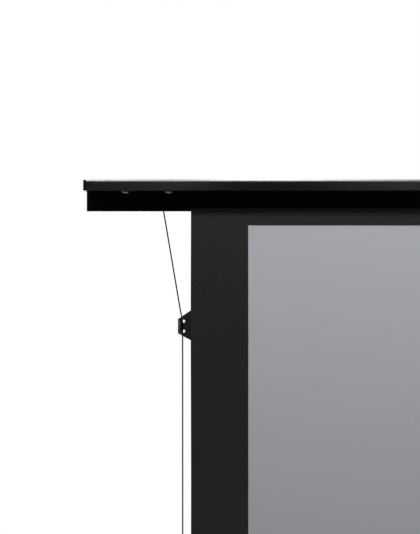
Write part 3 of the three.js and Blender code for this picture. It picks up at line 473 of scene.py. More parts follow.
def made_plain(obj):
    """The object made anew, holding only the mesh that its modifiers or its curve make."""
    name, mesh = obj.name, plain_mesh(obj)
    bpy.data.objects.remove(obj)
    return put(name, mesh)


def bake_modifiers(obj):
    """Applies what the modifiers make, and removes them."""
    made, old = plain_mesh(obj), obj.data
    obj.modifiers.clear()
    obj.data = made
    if old.users == 0:
        bpy.data.meshes.remove(old)


def paint(piece, finish, smooth):
    """Gives a piece its finish, and shades a large face flat beside its narrow rounded edges."""
    piece.data.materials.clear()
    piece.data.materials.append(finish_of(finish))
    piece.data.shade_smooth()
    piece.data.set_sharp_from_angle(angle=math.radians(smooth))
    weighing = piece.modifiers.new("Even shading", "WEIGHTED_NORMAL")
    weighing.keep_sharp = True
    bake_modifiers(piece)


def dress(piece, finish, node, smooth=40, body=None):
    """Gives a finished piece its finish and its body, and hides the CAD node that it stands for."""
    paint(piece, finish, smooth)
    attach(piece, body or BODY_OF[node])
    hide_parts(node)


def eased(node, width, finish, smooth=35):
    """A CAD solid with its edges rounded: merged, flat faces joined, then bevelled."""
    piece = put(f"{node}_eased", bpy.data.meshes.new(f"{node}_eased"))
    with reshaping(piece.data, frame["nodes"][node].data) as shape:
        bmesh.ops.remove_doubles(shape, verts=shape.verts, dist=MERGE)
        bmesh.ops.dissolve_limit(
            shape, angle_limit=math.radians(1), verts=shape.verts, edges=shape.edges
        )
    rounding = piece.modifiers.new("Eased edges", "BEVEL")
    rounding.width = width
    rounding.segments = 2
    rounding.limit_method = "ANGLE"
    rounding.angle_limit = math.radians(30)
    bake_modifiers(piece)
    dress(piece, finish, node, smooth)


def turned(name, profile, place, axis="Z", sides=64):
    """A piece turned about Y or Z. Its profile is (radius, distance) along it, from end to end."""
    points, faces, rings = [], [], []
    for radius, distance in profile:
        if radius <= 0:
            rings.append([len(points)] * sides)
            points.append((0, 0, distance))
            continue
        start = len(points)
        rings.append(list(range(start, start + sides)))
        for k in range(sides):
            turn = 2 * math.pi * k / sides
            points.append((radius * math.cos(turn), radius * math.sin(turn), distance))
    for near, far in zip(rings, rings[1:]):
        for k in range(sides):
            corners = [near[k], near[(k + 1) % sides], far[(k + 1) % sides], far[k]]
            face = list(dict.fromkeys(corners))
            if len(face) > 2:
                faces.append(face)
    turn = Matrix.Rotation(-math.pi / 2, 4, "X") if axis == "Y" else Matrix.Identity(4)
    return tidy(mesh_object(name, points, faces), Matrix.Translation(place) @ turn)


def joined(name, *objects):
    """One object from several, which are removed. The solids may pass through each other."""
    piece = put(name, bpy.data.meshes.new(name))
    with reshaping(piece.data, *(each.data for each in objects)):
        for each in objects:
            bpy.data.objects.remove(each)
    return piece


def cut(piece, tool):
    """Cuts the tool out of the piece and removes the tool."""
    modifier = piece.modifiers.new("Cut", "BOOLEAN")
    modifier.operation = "DIFFERENCE"
    modifier.solver = "EXACT"
    modifier.object = tool
    bake_modifiers(piece)
    bpy.data.objects.remove(tool)


def curve(name, routes, closed):
    """A curve through each route's points, which are (x, y, z)."""
    data = bpy.data.curves.new(name, "CURVE")
    data.dimensions = "2D" if closed else "3D"
    for route in routes:
        spline = data.splines.new("POLY")
        spline.points.add(len(route) - 1)
        for point, place in zip(spline.points, route):
            point.co = (*place, 1)
        spline.use_cyclic_u = closed
    return put(name, data)


def plate(name, outline, holes, thickness, rounding, matrix):
    """A flat plate with rounded edges. The outline and holes are lists of (across, up)."""
    rings = [[(across, up, 0) for across, up in ring] for ring in (outline, *holes)]
    flat = curve(name, rings, True)
    flat.data.fill_mode = "BOTH"
    flat.data.extrude = thickness / 2 - rounding
    flat.data.bevel_depth = rounding
    flat.data.bevel_resolution = 2
    flat.data.offset = -rounding
    return tidy(made_plain(flat), matrix)


def arc(across, up, radius, start, stop, steps):
    """Points of an arc, with its angles in degrees."""
    turns = [math.radians(start + (stop - start) * i / steps) for i in range(steps + 1)]
    return [(across + radius * math.cos(a), up + radius * math.sin(a)) for a in turns]


def rounded_polygon(corners, radii, steps=6):
    """An outline whose corners are rounded, each by its own radius."""
    points = []
    for i, (corner, radius) in enumerate(zip(corners, radii)):
        here = Vector(corner)
        back = (Vector(corners[i - 1]) - here).normalized()
        on = (Vector(corners[(i + 1) % len(corners)]) - here).normalized()
        if radius <= 0:
            points.append(tuple(here))
            continue
        half = back.angle(on) / 2
        reach = radius / math.tan(half)
        centre = here + (back + on).normalized() * (radius / math.sin(half))
        first = here + back * reach - centre
        last = here + on * reach - centre
        swing = first.angle_signed(last)
        for k in range(steps + 1):
            turned_by = Matrix.Rotation(-swing * k / steps, 2)
            points.append(tuple(centre + turned_by @ first))
    return points


UPRIGHT = Matrix.Rotation(math.pi / 2, 4, "X")  # across to X and up to Z, facing -Y
END_ON = Matrix.Rotation(math.pi / 2, 4, "Z") @ UPRIGHT  # across to Y and up to Z, facing +X


# Geometry Nodes


SOCKETS = {float: "NodeSocketFloat", int: "NodeSocketInt", type(None): "NodeSocketObject"}


def node_group(name, inputs):
    """A geometry node tree with the given inputs, its group input's sockets and identifiers."""
    tree = bpy.data.node_groups.new(name, "GeometryNodeTree")
    tree.interface.new_socket("Geometry", in_out="INPUT", socket_type="NodeSocketGeometry")
    names = {}
    for label, value in inputs.items():
        socket = tree.interface.new_socket(label, in_out="INPUT", socket_type=SOCKETS[type(value)])
        if value is not None:
            socket.default_value = value
        names[label] = socket.identifier
    tree.interface.new_socket("Geometry", in_out="OUTPUT", socket_type="NodeSocketGeometry")
    return tree, add(tree, "NodeGroupInput").outputs, names


def close_group(tree, geometry, material):
    """Ends a tree: instances made real, and the material set."""
    real = add(tree, "GeometryNodeRealizeInstances", {"Geometry": geometry})
    painted = add(tree, "GeometryNodeSetMaterial", {"Geometry": real, "Material": material})
    add(tree, "NodeGroupOutput", {"Geometry": painted})


def run_group(obj, tree, names, values):
    """Runs a tree on an object and keeps the result as its mesh."""
    modifier = obj.modifiers.new(tree.name, "NODES")
    modifier.node_group = tree
    for label, value in values.items():
        modifier[names[label]] = value
    return made_plain(obj)


def cord_tree(material):
    """A cord along a route, which keeps the length along it and the share round it."""
    tree, given, names = node_group("Cord along a route", {"Radius": 0.65 * MM, "Sides": 12})
    run = add(tree, "GeometryNodeSplineParameter").outputs["Length"]
    kept = add(tree, "GeometryNodeCaptureAttribute", {"Geometry": given["Geometry"]}, domain="POINT")
    kept.capture_items.new("FLOAT", "Length")
    tree.links.new(run, kept.inputs["Length"])
    ring = add(
        tree, "GeometryNodeCurvePrimitiveCircle",
        {"Resolution": given["Sides"], "Radius": given["Radius"]},
    )
    share = add(tree, "GeometryNodeCaptureAttribute", {"Geometry": ring}, domain="POINT")
    share.capture_items.new("FLOAT", "Share")
    tree.links.new(add(tree, "GeometryNodeSplineParameter").outputs["Factor"], share.inputs["Share"])
    skin = add(
        tree, "GeometryNodeCurveToMesh",
        {"Curve": kept, "Profile Curve": share, "Fill Caps": True},
    )
    route = add(
        tree, "ShaderNodeCombineXYZ", {"X": kept.outputs["Length"], "Y": share.outputs["Share"]}
    )
    named = add(
        tree, "GeometryNodeStoreNamedAttribute", {"Geometry": skin, "Name": "route", "Value": route},
        data_type="FLOAT_VECTOR", domain="POINT",
    )
    close_group(tree, named, material)
    return tree, names


def spring_tree(material):
    """A coiled spring along +Z from the origin."""
    tree, given, names = node_group(
        "Coiled spring",
        {"Turns": 60.0, "Coil radius": 15 * MM, "Wire radius": 1.3 * MM, "Length": 280 * MM},
    )
    coil = add(
        tree, "GeometryNodeCurveSpiral",
        {
            "Resolution": 20, "Rotations": given["Turns"], "Start Radius": given["Coil radius"],
            "End Radius": given["Coil radius"], "Height": given["Length"],
        },
    )
    wire = add(
        tree, "GeometryNodeCurvePrimitiveCircle", {"Resolution": 8, "Radius": given["Wire radius"]}
    )
    skin = add(
        tree, "GeometryNodeCurveToMesh", {"Curve": coil, "Profile Curve": wire, "Fill Caps": True}
    )
    close_group(tree, skin, material)
    return tree, names


def rib_tree(material):
    """Rings about the X axis in a row along it, from the origin."""
    tree, given, names = node_group(
        "Ribs along a grip",
        {"Count": 30, "Spacing": 3.2 * MM, "Ring radius": 5.9 * MM, "Rib radius": 1 * MM},
    )
    step = add(tree, "ShaderNodeCombineXYZ", {"X": given["Spacing"]})
    row = add(tree, "GeometryNodeMeshLine", {"Count": given["Count"], "Offset": step})
    ring, section = (
        add(tree, "GeometryNodeCurvePrimitiveCircle", {"Resolution": sides, "Radius": radius})
        for sides, radius in ((40, given["Ring radius"]), (10, given["Rib radius"]))
    )
    rib = add(tree, "GeometryNodeCurveToMesh", {"Curve": ring, "Profile Curve": section})
    copies = add(
        tree, "GeometryNodeInstanceOnPoints",
        {"Points": row, "Instance": rib, "Rotation": (0, math.pi / 2, 0)},
    )
    close_group(tree, copies, material)
    return tree, names


def screw_tree(material):
    """A copy of one screw's head on each point of the mesh."""
    tree, given, names = node_group("Screw on each point", {"Screw": None})
    screw = add(tree, "GeometryNodeObjectInfo", {"Object": given["Screw"]}).outputs["Geometry"]
    spots = add(tree, "GeometryNodeMeshToPoints", {"Mesh": given["Geometry"]})
    copies = add(tree, "GeometryNodeInstanceOnPoints", {"Points": spots, "Instance": screw})
    close_group(tree, copies, material)
    return tree, names


# Screws


CROWN = (  # a pan head's outline, from its top: share of its radius, share of its height
    (0, 1), (0.3, 0.98), (0.5, 0.88), (0.7, 0.66), (0.88, 0.38), (0.98, 0.14), (1, 0), (0, 0),
)
BOX_FACES = [[3, 2, 1, 0], [4, 5, 6, 7], [0, 1, 5, 4], [1, 2, 6, 5], [2, 3, 7, 6], [3, 0, 4, 7]]


def pan_head(name, head_radius, head_height, recess, place, turn):
    """A pan head with a cross recess, its top along +Z before it is turned and placed."""
    profile = [(r * head_radius, h * head_height) for r, h in CROWN]
    head = turned(name, profile, Vector(), "Z", 48)
    half, floor, over = head_radius * 0.56, head_height * 0.4, head_height * 1.5
    for quarter in (20, 110):  # the cross stands 20 degrees off the lid's length
        corners = [
            (x, y, z) for z in (floor, over) for x, y in
            ((-half, -recess / 2), (half, -recess / 2), (half, recess / 2), (-half, recess / 2))
        ]
        tool = mesh_object("recess", corners, BOX_FACES)
        tidy(tool, Matrix.Rotation(math.radians(quarter), 4, "Z"))
        cut(head, tool)
    return tidy(head, Matrix.Translation(place) @ turn)


# Sections of the lid and the beam

FOOT = 0.15 * MM  # radius along a section's lower edges
ENDS = 0.1 * MM  # rounding of its sawn ends
FITTED = 0.2 * MM  # between a section's end and the plug or cap on it


def chambers(spans, bottom, top):
    """The hollows of a section, each from one place to another across it."""
    return [
        rounded_polygon([(a, bottom), (b, bottom), (b, top), (a, top)], [0.6 * MM] * 4, 3)
        for a, b in spans
    ]


def end_plate(name, outline, start, stop, sign, rounding):
    """A plate across the section's end, which reaches from start out to stop."""
    place = Matrix.Translation((sign * (start + stop) / 2, 0, 0)) @ END_ON
    return plate(name, outline, [], stop - start, rounding, place)


def lid_outline(front, rear, bottom, top, nose, fall, notch=()):
    """The lid's outline across its length, from its front foot round to its rear foot and back."""
    brow = top - fall  # the top falls over the front quarter of the lid
    quarter = (rear - front) / 4
    ease = [
        (front + quarter * (1 - t) + nose * t, top - fall * t * t * (3 - 2 * t))
        for t in (i / 8 for i in range(8))
    ]
    return [
        *arc(front + FOOT, bottom + FOOT, FOOT, 180, 270, 5),
        *notch,
        *arc(rear - FOOT, bottom + FOOT, FOOT, 270, 360, 5),
        *arc(rear - nose, top - nose, nose, 0, 90, 14),
        *ease,
        *arc(front + nose, brow - nose, nose, 90, 180, 14),
    ]


class PULLUP_OT_lid(bpy.types.Operator):
    """Makes the lid's section and its two end caps"""

    bl_idname = "pullup.lid"
    bl_label = "Lid"

    def execute(self, context):
        sizes = context.scene.screen_sizes
        (start, front, bottom), (stop, rear, top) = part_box("lid")
        wall, slot_y = sizes.lid_wall, middle("left_tension_slide").y
        slot, channel, deep = 3 * MM, 5.5 * MM, 3.8 * MM  # the T slot: half its widths, and its depth
        floor, roof = bottom + wall, bottom + wall + deep
        tee = [
            (slot_y - slot, bottom), (slot_y - slot, floor), (slot_y - channel, floor),
            (slot_y - channel, roof), (slot_y + channel, roof), (slot_y + channel, floor),
            (slot_y + slot, floor), (slot_y + slot, bottom),
        ]
        spans = [
            (front + wall, slot_y - channel - wall), (slot_y + channel + wall, -wall / 2),
            (wall / 2, rear / 2 - wall / 2), (rear / 2 + wall / 2, rear - wall),
        ]
        shape = (sizes.lid_nose, sizes.lid_fall)
        section = plate(
            "lid_section", lid_outline(front, rear, bottom, top, *shape, tee),
            chambers(spans, floor, top - wall - sizes.lid_fall), stop - start, ENDS, END_ON,
        )
        dress(section, "anodised", "lid")
        hangs, set_back = 0.4 * MM, 0.4 * MM  # the caps hang under the lid, and end in their solids
        cap_outline = lid_outline(front, rear, bottom - hangs, top + sizes.cap_proud, *shape)
        outer = high("right_lid_cap").x - set_back
        for side, sign in SIDES.items():
            node = f"{side}_lid_cap"
            cap = end_plate(f"{node}_moulded", cap_outline, stop + FITTED, outer, sign, ENDS)
            dress(cap, "plastic", node)
        return {"FINISHED"}


class PULLUP_OT_beam(bpy.types.Operator):
    """Makes the beam under the lid, its end plugs and the cloth's clamp bar"""

    bl_idname = "pullup.beam"
    bl_label = "Beam"

    def execute(self, context):
        sizes = context.scene.screen_sizes
        start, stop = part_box("top_beam")
        wall, web = 1.6 * MM, (start.y + stop.y) / 2
        lip = start.z - 0.45 * MM  # the front wall reaches down a little further than the rest
        corners = [
            (start.y, lip), (start.y + wall, lip), (start.y + wall, start.z), (stop.y, start.z),
            (stop.y, stop.z), (start.y, stop.z),
        ]
        outline = rounded_polygon(corners, [FOOT, FOOT, 0.1 * MM, 0.5 * MM, 0.3 * MM, 0.3 * MM])
        spans = [(start.y + wall, web - wall / 2), (web + wall / 2, stop.y - wall)]
        beam = plate(
            "beam_section", outline, chambers(spans, start.z + wall, stop.z - wall),
            stop.x - start.x, ENDS, END_ON,
        )
        # The beam and the clamp bar take the darker black, which is painted shade under the lid
        dress(beam, "shaded_anodised", "top_beam")
        eased("fabric_clamp_bar", 0.08 * MM, "shaded_anodised")
        outer = high("right_beam_plug").x + 0.5 * MM  # the plugs stand out a little further
        for side, sign in SIDES.items():
            node = f"{side}_beam_plug"
            plug = end_plate(f"{node}_moulded", outline, stop.x + FITTED, outer, sign, 1.5 * ENDS)
            dress(plug, "plastic", node)
        return {"FINISHED"}


class PULLUP_OT_tension_gear(bpy.types.Operator):
    """Makes the slides and pan head screws that set the cords' tension"""

    bl_idname = "pullup.tension_gear"
    bl_label = "Tension gear"

    def execute(self, context):
        sizes = context.scene.screen_sizes
        underside = LID_UNDERSIDE - 0.3 * MM  # the washer bears on the lid here
        seat = underside - sizes.washer
        shank, bore = 2.4 * MM, 2.6 * MM
        rim, overlap = 0.3 * MM, 0.05 * MM  # the washer's bevel, and how far it enters the head
        for side in SIDES:
            eased(f"{side}_tension_slide", sizes.pressed_edge / 2, "zinc")
            for spot in ("outer", "inner"):
                node = f"{side}_{spot}_tension_screw"
                (left, _, bottom), (right, _, top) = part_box(node)
                head_radius = (right - left) / 2
                centre = Vector((*middle(node).xy, 0))
                head = pan_head(
                    f"{node}_head", head_radius, seat - bottom, sizes.recess_width,
                    centre + Vector((0, 0, seat)), Matrix.Rotation(math.pi, 4, "X"),
                )
                body = [(0, underside), (shank, underside), (shank, top), (0, top)]
                stem = turned(f"{node}_shank", body, centre, "Z", 32)
                dress(joined(f"{node}_turned", head, stem), "zinc", node, 50)
                # A dark washer between head and lid hides the head's upper part: painted shade for the shade that
                # falls there
                ring = [
                    (bore, underside), (bore, seat + overlap), (head_radius, seat + overlap),
                    (head_radius, underside - rim), (head_radius - rim, underside), (bore, underside),
                ]
                washer = turned(f"{node}_washer", ring, centre, "Z", 48)
                dress(washer, "plastic", node)
        return {"FINISHED"}


# Cloth


def sheet_lines(start, stop, cell, extra=()):
    """Grid lines from start to stop about a cell apart, with the extra ones among them."""
    marks = sorted({start, stop, *extra})
    lines = []
    for a, b in zip(marks, marks[1:]):
        cells = max(1, round((b - a) / cell))
        lines += [a + (b - a) * i / cells for i in range(cells)]
    return lines + [stop]


def cloth_sheet(name, box_low, box_high, cell, thickness, front, window=None, shift=None):
    """A thin closed sheet on a grid, facing -Y, with an optional window left out."""
    window_low, window_high = window or (None, None)
    extra_x = [window_low[0], window_high[0]] if window else []
    extra_z = [window_low[1], window_high[1]] if window else []
    xs = sheet_lines(box_low[0], box_high[0], cell, extra_x)
    zs = sheet_lines(box_low[1], box_high[1], cell, extra_z)
    points = []
    for layer in (front, front + thickness):
        for z in zs:
            for x in xs:
                moved = shift(x, z) if shift else x
                points.append((moved, layer, z))
    wide = len(xs)
    back = wide * len(zs)

    def open_cell(i, k):
        if not window:
            return False
        x = (xs[i] + xs[i + 1]) / 2
        z = (zs[k] + zs[k + 1]) / 2
        return window_low[0] < x < window_high[0] and window_low[1] < z < window_high[1]

    faces = []
    cells = {(i, k) for k in range(len(zs) - 1) for i in range(wide - 1) if not open_cell(i, k)}
    for i, k in sorted(cells):
        a, b = k * wide + i, k * wide + i + 1
        c, d = b + wide, a + wide
        faces.append([a, b, c, d])
        faces.append([back + d, back + c, back + b, back + a])
        for beside, (p, q) in {
            (i, k - 1): (a, b), (i + 1, k): (b, c), (i, k + 1): (c, d), (i - 1, k): (d, a)
        }.items():
            if beside not in cells:
                faces.append([q, p, p + back, q + back])
    made = mesh_object(name, points, faces)
    with reshaping(made.data) as shape:
        bmesh.ops.delete(shape, geom=[v for v in shape.verts if not v.link_faces], context="VERTS")
    return tidy(made)


def roll_up(piece):
    """Gives the piece a mesh of its own."""
    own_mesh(piece)


TABS = sorted({round(middle(f"left_tab_{n}").z, 6) for n in range(1, 5)}, reverse=True)


class PULLUP_OT_cloth(bpy.types.Operator):
    """Makes the black border and the grey picture surface"""

    bl_idname = "pullup.cloth"
    bl_label = "Cloth"

    def execute(self, context):
        sizes = context.scene.screen_sizes
        (_, front, foot), (half, _, top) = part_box("black_border")
        covered = 8 * MM  # the picture reaches this far behind the border
        apart = 0.05 * MM  # between the two sheets
        sheet_low, sheet_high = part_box("picture_sheet")
        window_low = (sheet_low.x + covered, sheet_low.z + covered)
        window_high = (sheet_high.x - covered, sheet_high.z - covered)

        def drawn_in(x, z):
            """The cloth's edge is drawn in between two tabs, and not at a tab."""
            if abs(x) < window_high[0]:
                return x
            share = (abs(x) - window_high[0]) / (half - window_high[0])
            wave = math.sin(math.pi * (TABS[0] - z) / (TABS[0] - TABS[1])) ** 2
            return x - math.copysign(sizes.edge_draw * wave * share, x)

        border = cloth_sheet(
            "border_sheet", (-half, foot), (half, top), sizes.cloth_cell, sizes.cloth_thickness,
            front, (window_low, window_high), drawn_in,
        )
        dress(border, "border", "black_border")
        roll_up(border)
        picture = cloth_sheet(
            "picture_sheet_coated", (sheet_low.x, sheet_low.z), (sheet_high.x, sheet_high.z),
            2 * sizes.cloth_cell, sizes.cloth_thickness, front + sizes.cloth_thickness + apart,
        )
        dress(picture, "picture", "picture_sheet")
        picture.data.materials.append(finish_of("backing"))
        for face in picture.data.polygons:
            face.material_index = 1 if face.normal.y > 0.5 else 0
        roll_up(picture)
        return {"FINISHED"}


# Tabs. Their holes and slanted corners are placed from the cloth's edge and the ends of their solids.

TAB_INSIDE = 20 * MM  # the welded strip reaches this far in from the cloth's edge
TAB_RISE, TAB_FALL = 8.8 * MM, 11 * MM  # from its lower and upper end to the corners of its outer edge
HOLE_OUT, HOLE_RADIUS = 8.9 * MM, 1.85 * MM
HOLE_UP = 6.25 * MM  # from half way between the two holes to either
CURL_OUT = 11.2 * MM  # outside this the film is turned up


def tab_tips(side, number):
    """The heights of the lower and the upper corner of a tab's outer edge."""
    bottom, top = (corner.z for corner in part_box(f"{side}_tab_{number}"))
    return bottom + TAB_RISE, top - TAB_FALL


def curl_edge(piece, start, outer, foot, head):
    """Turns the film's outer strip up towards the audience: flat at the head, steep at the foot."""
    steepest, bend, strips = math.tan(math.radians(42)), 1 * MM, 12
    with reshaping(piece.data) as shape:
        side = math.copysign(1, sum(v.co.x for v in shape.verts))
        cuts = [
            ((side * (start + (outer - start) * i / strips), 0, 0), (1, 0, 0)) for i in range(strips)
        ]
        cuts += [((0, 0, foot + (head - foot) * i / strips), (0, 0, 1)) for i in range(strips + 1)]
        for place, way in cuts:
            bmesh.ops.bisect_plane(
                shape, geom=[*shape.verts, *shape.edges, *shape.faces],
                plane_co=place, plane_no=way, dist=MERGE / 2,
            )
        for corner in shape.verts:
            out = abs(corner.co.x) - start
            down = min(1, max(0, 1.5 * (head - corner.co.z) / (head - foot)))
            if out > 0:
                rise = out * out / (2 * bend) if out < bend else out - bend / 2
                corner.co.y -= steepest * rise * down * down * (3 - 2 * down)


class PULLUP_OT_tabs(bpy.types.Operator):
    """Makes the welded tabs along the cloth's side edges"""

    bl_idname = "pullup.tabs"
    bl_label = "Tabs"

    def execute(self, context):
        sizes = context.scene.screen_sizes
        edge, _, top = high("black_border")
        for side, sign in SIDES.items():
            for n in range(1, len(TABS) + 1):
                node = f"{side}_tab_{n}"
                box_low, box_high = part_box(node)
                inner = edge - TAB_INSIDE
                outer = inner + box_high.x - box_low.x
                lower_tip, upper_tip = tab_tips(side, n)
                corners = [
                    (inner, box_low.z), (edge, box_low.z), (outer, lower_tip),
                    (outer, upper_tip), (edge, box_high.z), (inner, box_high.z),
                ]
                if sign < 0:
                    corners = [(-x, z) for x, z in reversed(corners)]
                radii = [sizes.tab_corner if abs(x) > edge + MM else 0 for x, z in corners]
                centre = (upper_tip + lower_tip) / 2
                holes = [
                    arc(sign * (edge + HOLE_OUT), centre + way * HOLE_UP, HOLE_RADIUS, 0, 345, 23)
                    for way in (-1, 1)
                ]
                piece = plate(
                    f"{node}_film", rounded_polygon(corners, radii), holes,
                    sizes.tab_film, sizes.tab_edge,
                    Matrix.Translation((0, box_low.y + sizes.tab_film / 2, 0)) @ UPRIGHT,
                )
                curl_edge(piece, edge + CURL_OUT, outer, lower_tip, upper_tip)
                dress(piece, "tab", node, 30)
                roll_up(piece)
        return {"FINISHED"}


# Cords. Their places across are measured from the cloth's edge.

CORD_OUT, KNOT_OUT = 9.9 * MM, 37.9 * MM  # down the tabs, and at the slide in the lid
PULLED_OUT = (0.45 * MM, 0.2025 * MM)  # the first tab's holes give way towards the lid's end
BENDS = (  # above the first tab: how far out, and how far over the middle of its holes
    (14.4 * MM, 28.6 * MM), (13.2 * MM, 21.6 * MM), (12.15 * MM, 16 * MM), (10.9 * MM, 10.9 * MM),
)
THROUGH = 2.6 * MM  # the cord passes through the film within this far over and under a hole
TURNS_LEFT = 0.75  # on the roller when the screen is up


def cord_routes(side, sign, radius, gap):
    """The cord's run from the lid to the roller, and its turns on the roller."""
    slide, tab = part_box(f"{side}_tension_slide"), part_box(f"{side}_tab_1")
    edge = high("black_border").x
    cord_x, knot_x = edge + CORD_OUT, edge + KNOT_OUT
    slot_y = (slide[0].y + slide[1].y) / 2
    behind, infront = tab[1].y + gap + radius, tab[0].y - gap - radius
    centres = [sum(tab_tips(side, n)) / 2 for n in range(1, len(TABS) + 1)]
    run = [Vector((sign * knot_x, slot_y, z)) for z in (slide[1].z, LID_UNDERSIDE - radius)]
    run += [Vector((sign * (edge + out), behind, centres[0] + up)) for out, up in BENDS]
    for n, (centre, way) in enumerate((centre, way) for centre in centres for way in (1, -1)):
        x = cord_x + (PULLED_OUT[n] if n < 2 else 0)
        start, stop = (behind, infront) if way > 0 else (infront, behind)
        for t in (0, 0.2, 0.35, 0.5, 0.65, 0.8, 1):
            y = start + (stop - start) * t * t * (3 - 2 * t)
            z = centre + way * HOLE_UP + THROUGH * (1 - 2 * t)
            run.append(Vector((sign * x, y, z)))
    reach = (high("roller_tube").z - low("roller_tube").z) / 2 + gap + radius
    wrap, steps = [], 48
    for i in range(steps + 1):
        turned_by = TURNS_LEFT * i / steps
        angle = math.pi + 2 * math.pi * turned_by
        wrap.append(
            Vector((
                sign * (cord_x + turned_by * 2 * (radius + gap)),
                ROLLER.y + reach * math.cos(angle),
                ROLLER.z + reach * math.sin(angle),
            ))
        )
    run.append(wrap[0])
    return run, wrap


class PULLUP_OT_cords(bpy.types.Operator):
    """Makes the two tension cords"""

    bl_idname = "pullup.cords"
    bl_label = "Cords"

    def execute(self, context):
        sizes = context.scene.screen_sizes
        tree, names = cord_tree(finish_of("cord"))
        radius = sizes.cord_diameter / 2
        values = {"Radius": radius, "Sides": 12}
        for side, sign in SIDES.items():
            node = f"{side}_tension_cord"
            run, wrap = cord_routes(side, sign, radius, sizes.cord_gap)
            hung = run_group(curve(f"{node}_run", [run], False), tree, names, values)
            dress(hung, "cord", node, 80)
            roll_up(hung)
            wound = run_group(curve(f"{node}_on_roller", [wrap], False), tree, names, values)
            dress(wound, "cord", node, 80, body="roller")
        return {"FINISHED"}


# Housing


class PULLUP_OT_housing(bpy.types.Operator):
    """Makes the housing's tray, covers and end caps, with the caps' screws"""

    bl_idname = "pullup.housing"
    bl_label = "Housing"

    def execute(self, context):
        sizes = context.scene.screen_sizes
        for node in ("base_tray", "front_cover", "rear_cover"):
            eased(node, sizes.extruded_edge, "anodised")
        from_wall = 4.1 * MM  # of the screws, which stand over the tray's foot and under the covers' top
        spots = [
            (way * (half - from_wall), z)
            for half, z in (
                (high("base_tray").y, low("base_tray").z + 7 * MM),
                (high("rear_cover").y, high("front_cover").z - 13 * MM),
            )
            for way in (-1, 1)
        ]
        tree, names = screw_tree(finish_of("powder"))
        for side, sign in SIDES.items():
            node = f"{side}_end_cap"
            eased(node, sizes.moulded_edge, "plastic")
            face = sign * high("right_end_cap").x
            turn = Matrix.Rotation(sign * math.pi / 2, 4, "Y")
            head = pan_head("end_cap_screw", 3.6 * MM, 1.9 * MM, 0.9 * MM, Vector(), turn)
            points = mesh_object(f"{node}_screws", [(face, y, z) for y, z in spots], [])
            screws = run_group(points, tree, names, {"Screw": head})
            bpy.data.objects.remove(head)
            paint(screws, "powder", 50)
            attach(screws, "housing")
        return {"FINISHED"}


class PULLUP_OT_roller(bpy.types.Operator):
    """Makes the roller, its plugs, brackets, shaft and spring, and the cloth left on it"""

    bl_idname = "pullup.roller"
    bl_label = "Roller"

    def execute(self, context):
        sizes = context.scene.screen_sizes
        eased("roller_tube", sizes.extruded_edge / 2, "mill", smooth=20)
        eased("spring_plug", sizes.moulded_edge, "plastic", smooth=25)
        eased("idle_plug", sizes.moulded_edge, "plastic", smooth=25)
        eased("spring_shaft", sizes.pressed_edge, "pressed zinc", smooth=25)
        for side in SIDES:
            eased(f"{side}_roller_bracket", sizes.pressed_edge, "pressed zinc")
        tree, names = spring_tree(finish_of("spring"))
        start, stop = low("roller_spring"), high("roller_spring")
        thick = sizes.spring_wire
        coil = run_group(
            mesh_object("roller_spring_coil", [(0, 0, 0)], []), tree, names,
            {
                "Turns": float(sizes.spring_turns), "Coil radius": (stop.z - start.z) / 2 - thick,
                "Wire radius": thick, "Length": stop.x - start.x - 2 * thick,
            },
        )
        place = Matrix.Translation((start.x + thick, ROLLER.y, ROLLER.z))
        tidy(coil, place @ Matrix.Rotation(math.pi / 2, 4, "Y"))
        dress(coil, "spring", "roller_spring", 80)
        self.wind_cloth(sizes)
        return {"FINISHED"}

    def wind_cloth(self, sizes):
        """The cloth left on the roller: a spiral that its outer end leaves for the flat sheet."""
        start, stop = low("wound_fabric").x, high("wound_fabric").x
        gap, turns, pitch, steps = 0.3 * MM, 2.25, 0.8 * MM, 180  # wound looser than it is, to show
        inner = (high("roller_tube").z - low("roller_tube").z) / 2 + gap
        outer = inner + sizes.cloth_thickness + turns * pitch
        leaves_at = math.pi + gap / outer
        marks = [start + (stop - start) * i / 6 for i in range(7)]
        points, faces = [], []
        for i in range(steps + 1):
            turned_by = turns * i / steps
            angle = leaves_at + 2 * math.pi * (turns - turned_by)
            way = Vector((0, math.cos(angle), math.sin(angle)))
            near = inner + turned_by * pitch
            for x in marks:
                centre = Vector((x, ROLLER.y, ROLLER.z))
                points += [centre + way * r for r in (near, near + sizes.cloth_thickness)]
        row = 2 * len(marks)
        across = range(0, row - 2, 2)
        for a in range(0, steps * row, row):
            for b in (a + k for k in across):
                faces += [[b, b + 2, b + row + 2, b + row], [b + 1, b + row + 1, b + row + 3, b + 3]]
            faces += [[b, b + row, b + row + 1, b + 1] for b in (a, a + row - 2)]
        for a in (0, steps * row):
            faces += [[a + k, a + k + 1, a + k + 3, a + k + 2] for k in across]
        wound = tidy(mesh_object("wound_cloth", points, faces))
        dress(wound, "border", "wound_fabric", 30)


